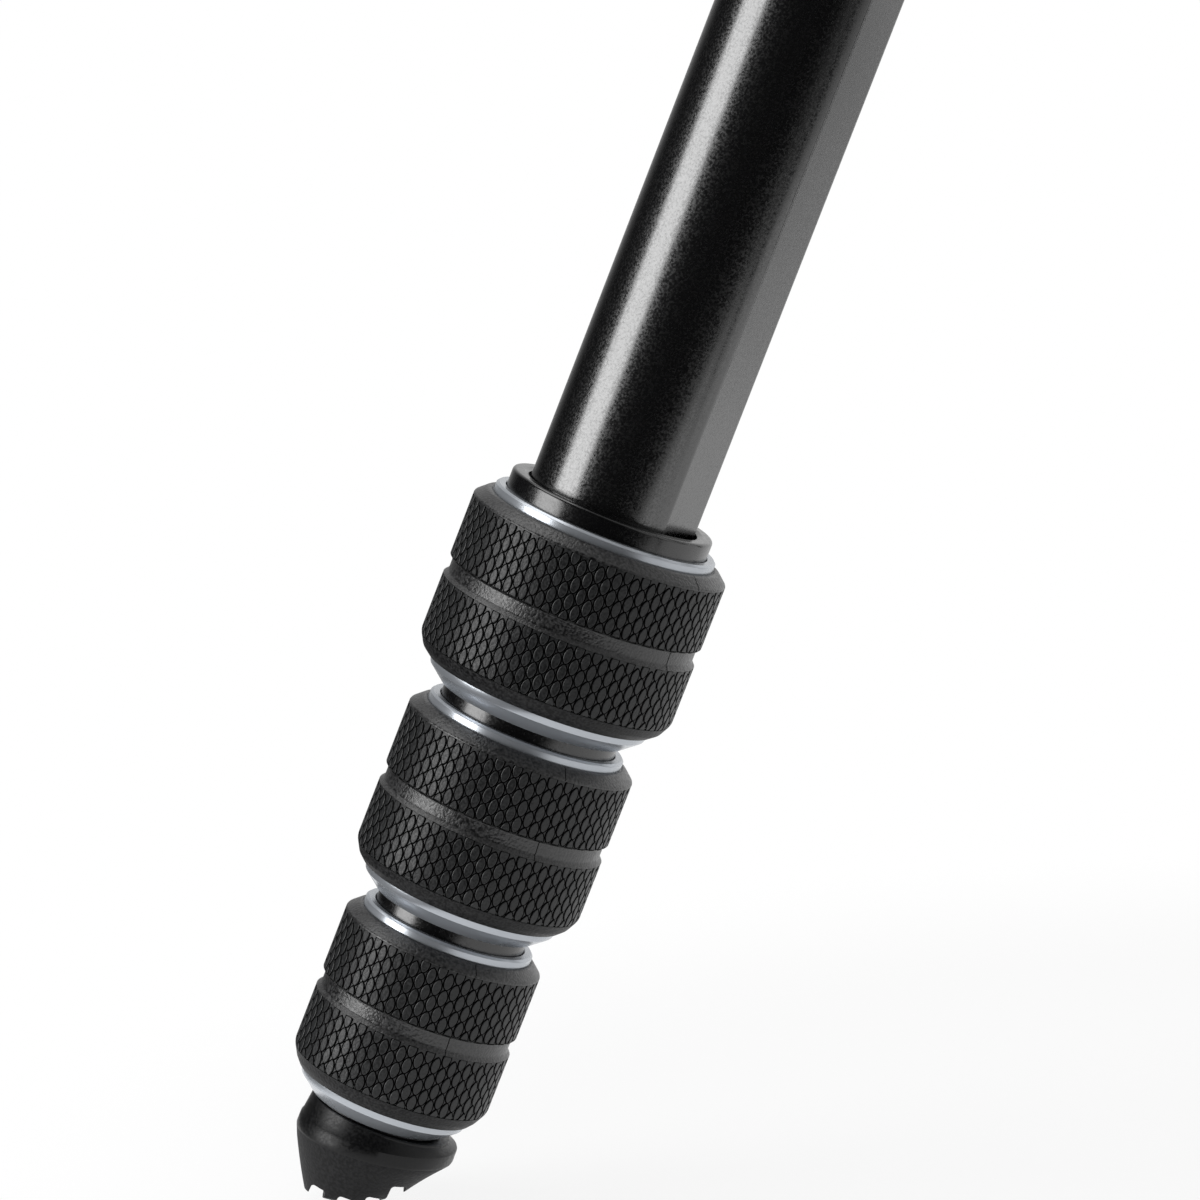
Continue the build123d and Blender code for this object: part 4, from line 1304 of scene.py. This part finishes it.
@dataclass
class LegParts:
    """The meshes that the three legs share, drawn at a leg's own hinge."""

    palette: Palette
    spread: float
    grip_diameters: tuple[float, float, float] = (34.7, 30.9, 27.0)
    seams: tuple[float, float, float] = (141.0, 114.0, 111.0)
    tubes: TubeSizes = field(default_factory=TubeSizes)
    collar: CollarSizes = field(default_factory=CollarSizes)
    meshes: dict[str, bpy.types.Mesh] = field(default_factory=dict)

    def ferrule_top(self, stage: int) -> float:
        """The height at which a tube's ferrule, or the foot, starts."""
        return -(self.tubes.knuckle + self.tubes.shown) - stage * self.collar.pitch()

    def tube_top(self, stage: int) -> float:
        """The height of a tube's upper end."""
        top = self.tubes.socket - self.tubes.knuckle
        return top if stage == 0 else top - self.tubes.top_gap

    def add_ferrule(self, shape: Shape, stage: int) -> None:
        """Add the end piece on a tube, with the recess round the tube at its top.

        Args:
            shape: The mesh in the making.
            stage: Which tube, from 0 at the top.
        """
        c = self.collar
        top = self.ferrule_top(stage)
        bore = self.tubes.radius(stage)
        outer = bore + c.ferrule_wall
        outline = rounded_outline(
            [
                (bore + c.recess_width, top - c.recess_drop, c.recess_round),
                (bore + c.rim_width, top, c.rim_round),
                (outer, top, c.ferrule_round),
                (outer, top - c.ferrule_length, c.ferrule_end_round),
                (bore, top - c.ferrule_length, 0.0),
                (bore, top - c.ferrule_recess, 0.0),
                (bore + c.recess_width, top - c.ferrule_recess, 0.0),
            ]
        )
        shape.lathe(outline, c.segments, TubeSlot.FERRULE)

    def tube_mesh(self, stage: int) -> bpy.types.Mesh:
        """A tube with its ferrule.

        Args:
            stage: Which tube, from 0 at the top.

        Returns:
            The mesh.
        """
        t = self.tubes
        last = stage == t.count - 1
        top, ferrule = self.tube_top(stage), self.ferrule_top(stage)
        end = ferrule - (t.foot_overlap if last else self.collar.ferrule_length)
        shape = Shape()
        heights = (top, top - t.top_edge, ferrule + t.lower_part, ferrule + t.mouth, end)
        outer = [t.outline(stage, 0.0, height) for height in heights]
        inner = [t.outline(stage, t.wall, height) for height in (end, top)]
        shape.stack(outer + inner, closed=True, slots=(TubeSlot.TUBE,))
        if not last:
            self.add_ferrule(shape, stage)
        return shape.mesh(f"tube_{stage + 1}", Shading.CRISP, [self.palette.tube, self.palette.ferrule])

    def build(self) -> None:
        """Make every shared mesh."""
        for stage in range(self.tubes.count):
            self.meshes[f"tube_{stage + 1}"] = self.tube_mesh(stage)
        for stage, diameter in enumerate(self.grip_diameters):
            radius, inner = self.tubes.radius(stage), self.tubes.radius(stage + 1)
            collar = TwistCollar(radius, inner, diameter, self.seams[stage], self.palette, self.collar)
            self.meshes[f"sleeve_{stage + 1}"] = collar.sleeve(f"sleeve_{stage + 1}")
            self.meshes[f"grip_{stage + 1}"] = collar.grip(f"grip_{stage + 1}")
        boss = self.tubes.radius(self.tubes.count - 1) + self.collar.ferrule_wall
        self.meshes["foot"] = Foot(self.palette, boss, self.spread).mesh("foot")


@dataclass
class Leg:
    """One leg, standing where the frame's joints put it."""

    number: int
    parts: LegParts
    joints: dict[str, dict]

    def hinge_place(self) -> Matrix:
        """The leg's own hinge frame in the tripod, with the leg hanging down its -Z."""
        fold = self.joints[f"leg_{self.number}_fold"]
        down = Vector(self.joints[f"leg_{self.number}_section_2_slide"]["axis"])
        up = -down
        side = -Vector(fold["axis"])
        out = side.cross(up)
        place = Matrix((out, side, up)).transposed().to_4x4()
        place.translation = Vector(fold["pos_m"])
        return place

    def build(self) -> None:
        """Set this leg's pieces in place."""
        prefix = f"leg_{self.number}"
        hinge = self.hinge_place()
        meshes = self.parts.meshes
        for stage in range(self.parts.tubes.count):
            body = prefix if stage == 0 else f"{prefix}_section_{stage + 1}"
            node = f"{prefix}_tube_{stage + 1}"
            shown(f"{node}_shown", meshes[f"tube_{stage + 1}"], hinge, body, node, "black_anodised")
        for stage in range(len(self.parts.grip_diameters)):
            place = hinge @ Matrix.Translation((0, 0, self.parts.ferrule_top(stage) * MM))
            body = f"{prefix}_collar_{stage + 1}"
            for kind, slot in (("sleeve", "silver_metal"), ("grip", "rubber")):
                node = f"{prefix}_{kind}_{stage + 1}"
                shown(f"{node}_shown", meshes[f"{kind}_{stage + 1}"], place, body, node, slot)
        last = self.parts.tubes.count
        place = hinge @ Matrix.Translation((0, 0, self.parts.ferrule_top(last - 1) * MM))
        node = f"{prefix}_foot"
        shown(f"{node}_shown", meshes["foot"], place, f"{prefix}_section_{last}", node, "rubber")
        LOG.info("leg %d stands on its foot", self.number)


@dataclass
class ColumnLock:
    """The collar that locks the centre column, a twist lock turned upside down on the crown."""

    palette: Palette
    hinge_height: float
    column_radius: float = 11.0
    diameter: float = 37.0
    crown_top: float = 12.0
    seam: float = 35.0

    def build(self) -> None:
        """Set the sleeve and the grip on the crown."""
        radius = self.column_radius
        collar = TwistCollar(radius, radius, self.diameter, self.seam, self.palette)
        place = Matrix.Translation((0, 0, self.hinge_height + self.crown_top * MM))
        place = place @ Matrix.Rotation(math.pi, 4, "X")
        sleeve, grip = collar.sleeve("column_sleeve"), collar.grip("column_grip")
        for node, mesh, slot in (
            ("column_lock_sleeve", sleeve, "silver_metal"),
            ("column_lock_grip", grip, "rubber"),
        ):
            shown(f"{node}_shown", mesh, place, "column_lock", node, slot)
        LOG.info("column lock is on the crown")


@dataclass
class Dressing:
    """The CAD nodes that keep their own shape, each with its finish."""

    palette: Palette
    nodes: dict[str, bpy.types.Object]

    def finish_of(self, node: str) -> bpy.types.Material:
        """The finish of a CAD node.

        Args:
            node: The node's name.

        Returns:
            The material.
        """
        p = self.palette
        known = {
            "crown": p.casting,
            "bubble_level": p.level,
            "leg_hinge_pins": p.steel,
            "centre_column": p.column,
            "head_plate": p.casting,
            "head_pad": p.pad,
            "column_cap": p.plastic,
            "pan_base": p.casting,
            "pan_body": p.casting,
            "pan_knob": p.plastic,
            "tilt_cradle": p.casting,
            "tilt_knob": p.plastic,
            "quick_release_plate": p.plate,
            "plate_pads": p.pad,
            "camera_screw": p.steel,
            "plate_lever": p.bright,
            "pan_bar": p.column,
            "bar_grip": p.bar_grip,
            "bar_knob": p.plastic,
        }
        if node in known:
            return known[node]
        return p.bright if node.endswith("latch") else p.casting

    def build(self) -> None:
        """Give each CAD node its finish."""
        for name, piece in self.nodes.items():
            if piece.hide_render:
                continue
            piece.data.materials.clear()
            piece.data.materials.append(self.finish_of(name))
            LOG.info("%s is dressed", name)


@dataclass(frozen=True)
class Lamp:
    """A soft rectangular lamp: where it hangs, its width and height in metres, and its power in watts."""

    name: str
    place: Point3
    size: Point2
    power: float


@dataclass
class Studio:
    """The pale floor, the soft lights, the world and the camera at the photograph's view."""

    target: Vector
    target_pixel: Point2 = (572.6, 608.9)
    frame_pixels: float = 1200.0
    focal_pixels: float = 5443.0
    distance: float = 0.703
    elevation: float = 10.0
    sensor: float = 36.0
    clip: Point2 = (0.01, 100.0)
    floor_radius: float = 0.22
    floor_sides: int = 96
    floor_colour: Colour = (0.93, 0.93, 0.93)
    fade_from: float = 0.6
    fade_to: float = 0.97
    least_white: float = 0.88
    white_side: Point3 = (0.78, 0.57, 0.25)
    white_from: float = -0.15
    dark_room: float = 0.015
    soft_fill: float = 0.32
    aim: Point3 = (-0.12, 0.0, 0.12)
    lamps: tuple[Lamp, ...] = (
        Lamp("left_key", (-1.79, -0.54, 0.5), (1.05, 1.3), 23.0),
        Lamp("right_fill", (1.45, -0.9, 0.5), (1.2, 1.2), 0.9),
        Lamp("top_soft", (-0.75, 0.2, 2.1), (1.4, 1.4), 14.0),
    )

    def add_floor(self) -> None:
        """Lay the pale floor, which keeps the tripod's shadow and shows the world's white through it.

        A leg that a pose lets down below the floor stays in sight.
        """
        shape = Shape()
        rim = []
        for step in range(self.floor_sides):
            angle = 2 * math.pi * step / self.floor_sides
            radius = self.floor_radius / MM
            rim.append((radius * math.cos(angle), radius * math.sin(angle), 0.0))
        shape.bm.faces.new([shape.bm.verts.new(corner) for corner in rim])
        floor = bpy.data.objects.new("floor", shape.mesh("floor", Shading.SOFT, [self.floor_material()]))
        bpy.context.scene.collection.objects.link(floor)
        floor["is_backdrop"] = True

    def floor_material(self) -> bpy.types.Material:
        """The floor's finish: a pale surface that the shadow falls on, under a share of plain white."""
        sheet = NodeSheet("pale_floor")
        sheet.set(Base_Color=(*self.floor_colour, 1.0), Roughness=0.8, Specular_IOR_Level=0.1)
        glow = sheet.add("ShaderNodeEmission")
        clear = sheet.add("ShaderNodeBsdfTransparent")
        path = sheet.add("ShaderNodeLightPath")
        distance = sheet.add("ShaderNodeVectorMath")
        distance.operation = "LENGTH"
        sheet.link(sheet.place(), distance.inputs[0])
        fade = sheet.add(
            "ShaderNodeMapRange",
            From_Min=self.floor_radius * self.fade_from,
            From_Max=self.floor_radius * self.fade_to,
            To_Min=self.least_white,
        )
        fade.interpolation_type = "SMOOTHSTEP"
        sheet.link(distance.outputs["Value"], fade.inputs["Value"])
        seen = worked(sheet.tree, "MAXIMUM", path.outputs["Is Camera Ray"], path.outputs["Is Glossy Ray"])
        share = worked(sheet.tree, "MULTIPLY", seen, fade.outputs["Result"])
        white = sheet.add("ShaderNodeMixShader")
        sheet.link(path.outputs["Is Camera Ray"], white.inputs[0])
        sheet.link(glow.outputs[0], white.inputs[1])
        sheet.link(clear.outputs[0], white.inputs[2])
        mix = sheet.add("ShaderNodeMixShader")
        sheet.link(share, mix.inputs[0])
        sheet.link(sheet.shader.outputs[0], mix.inputs[1])
        sheet.link(white.outputs[0], mix.inputs[2])
        sheet.link(mix.outputs[0], sheet.tree.nodes["Material Output"].inputs["Surface"])
        return sheet.material

    def add_world(self) -> None:
        """Set the surroundings that the camera and glossy surfaces see, and an even light.

        The camera sees white. What is glossy mirrors white behind and to the right, and a dark room in front.
        """
        world = bpy.data.worlds.new("studio")
        bpy.context.scene.world = world
        world.use_nodes = True
        tree = world.node_tree
        background = tree.nodes["Background"]
        path = tree.nodes.new("ShaderNodeLightPath").outputs
        place = tree.nodes.new("ShaderNodeTexCoord")
        facing = tree.nodes.new("ShaderNodeVectorMath")
        facing.operation = "DOT_PRODUCT"
        facing.inputs[1].default_value = self.white_side
        tree.links.new(place.outputs["Generated"], facing.inputs[0])
        room = tree.nodes.new("ShaderNodeMapRange")
        room.interpolation_type = "SMOOTHSTEP"
        room.inputs["From Min"].default_value = self.white_from
        room.inputs["To Min"].default_value = self.dark_room
        tree.links.new(facing.outputs["Value"], room.inputs["Value"])
        mirrored = worked(tree, "MULTIPLY", path["Is Glossy Ray"], room.outputs["Result"])
        seen = worked(tree, "MAXIMUM", path["Is Camera Ray"], path["Is Transmission Ray"])
        lighting = worked(tree, "MULTIPLY", path["Is Diffuse Ray"], self.soft_fill)
        strength = worked(tree, "MAXIMUM", worked(tree, "MAXIMUM", seen, mirrored), lighting)
        tree.links.new(strength, background.inputs["Strength"])
        background.inputs["Color"].default_value = (1.0, 1.0, 1.0, 1.0)

    def add_lamp(self, lamp: Lamp) -> None:
        """Hang a lamp that shines at the tripod's leg.

        Args:
            lamp: The lamp.
        """
        data = bpy.data.lights.new(lamp.name, "AREA")
        data.shape = "RECTANGLE"
        data.size, data.size_y = lamp.size
        data.energy = lamp.power
        piece = bpy.data.objects.new(lamp.name, data)
        bpy.context.scene.collection.objects.link(piece)
        piece.location = lamp.place
        piece.rotation_euler = (Vector(self.aim) - Vector(lamp.place)).to_track_quat("-Z", "Y").to_euler()
        piece.visible_camera = False

    def add_camera(self) -> None:
        """Stand the camera at the photograph's view of leg 1's lower end."""
        tilt = math.radians(self.elevation)
        forward = Vector((0.0, math.cos(tilt), -math.sin(tilt)))
        right = Vector((1.0, 0.0, 0.0))
        up = right.cross(forward)
        middle = self.frame_pixels / 2
        aside = (self.target_pixel[0] - middle) / self.focal_pixels * self.distance
        above = -(self.target_pixel[1] - middle) / self.focal_pixels * self.distance
        data = bpy.data.cameras.new("camera")
        data.sensor_width = self.sensor
        data.lens = self.sensor * self.focal_pixels / self.frame_pixels
        data.clip_start, data.clip_end = self.clip
        camera = bpy.data.objects.new("camera", data)
        bpy.context.scene.collection.objects.link(camera)
        camera.matrix_world = Matrix((right, up, -forward)).transposed().to_4x4()
        camera.location = self.target - forward * self.distance - right * aside - up * above
        bpy.context.scene.camera = camera

    def build(self) -> None:
        """Set up the whole studio."""
        self.add_floor()
        self.add_world()
        for lamp in self.lamps:
            self.add_lamp(lamp)
        self.add_camera()
        bpy.context.scene.view_settings.view_transform = "Standard"
        LOG.info("studio is set")


def write_sizes(name: str, sizes: dict[str, list[float]]) -> None:
    """Args:
        name: What the box is of.
        sizes: The sizes so far.
    """
    low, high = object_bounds()
    sizes[name] = [list(low), list(high)]


def main() -> None:
    """Build the tripod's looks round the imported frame."""
    logging.basicConfig(level=logging.INFO, format="%(name)s: %(message)s")
    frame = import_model()
    sizes = {}
    write_sizes("cad", sizes)
    joints = {joint["name"]: joint for joint in frame["joints"]}
    spread = math.degrees(math.acos(-joints["leg_1_section_2_slide"]["axis"][2]))
    palette = Palette()
    parts = LegParts(palette, spread)
    parts.build()
    for number in (1, 2, 3):
        Leg(number, parts, joints).build()
    hinge = Leg(1, parts, joints).hinge_place()
    ColumnLock(palette, hinge.translation.z).build()
    Dressing(palette, frame["nodes"]).build()
    groove = hinge @ Vector((0, 0, (parts.ferrule_top(0) - parts.tubes.seen_point) * MM))
    Studio(groove).build()
    write_sizes("visual", sizes)


if __name__ == "__main__":
    main()
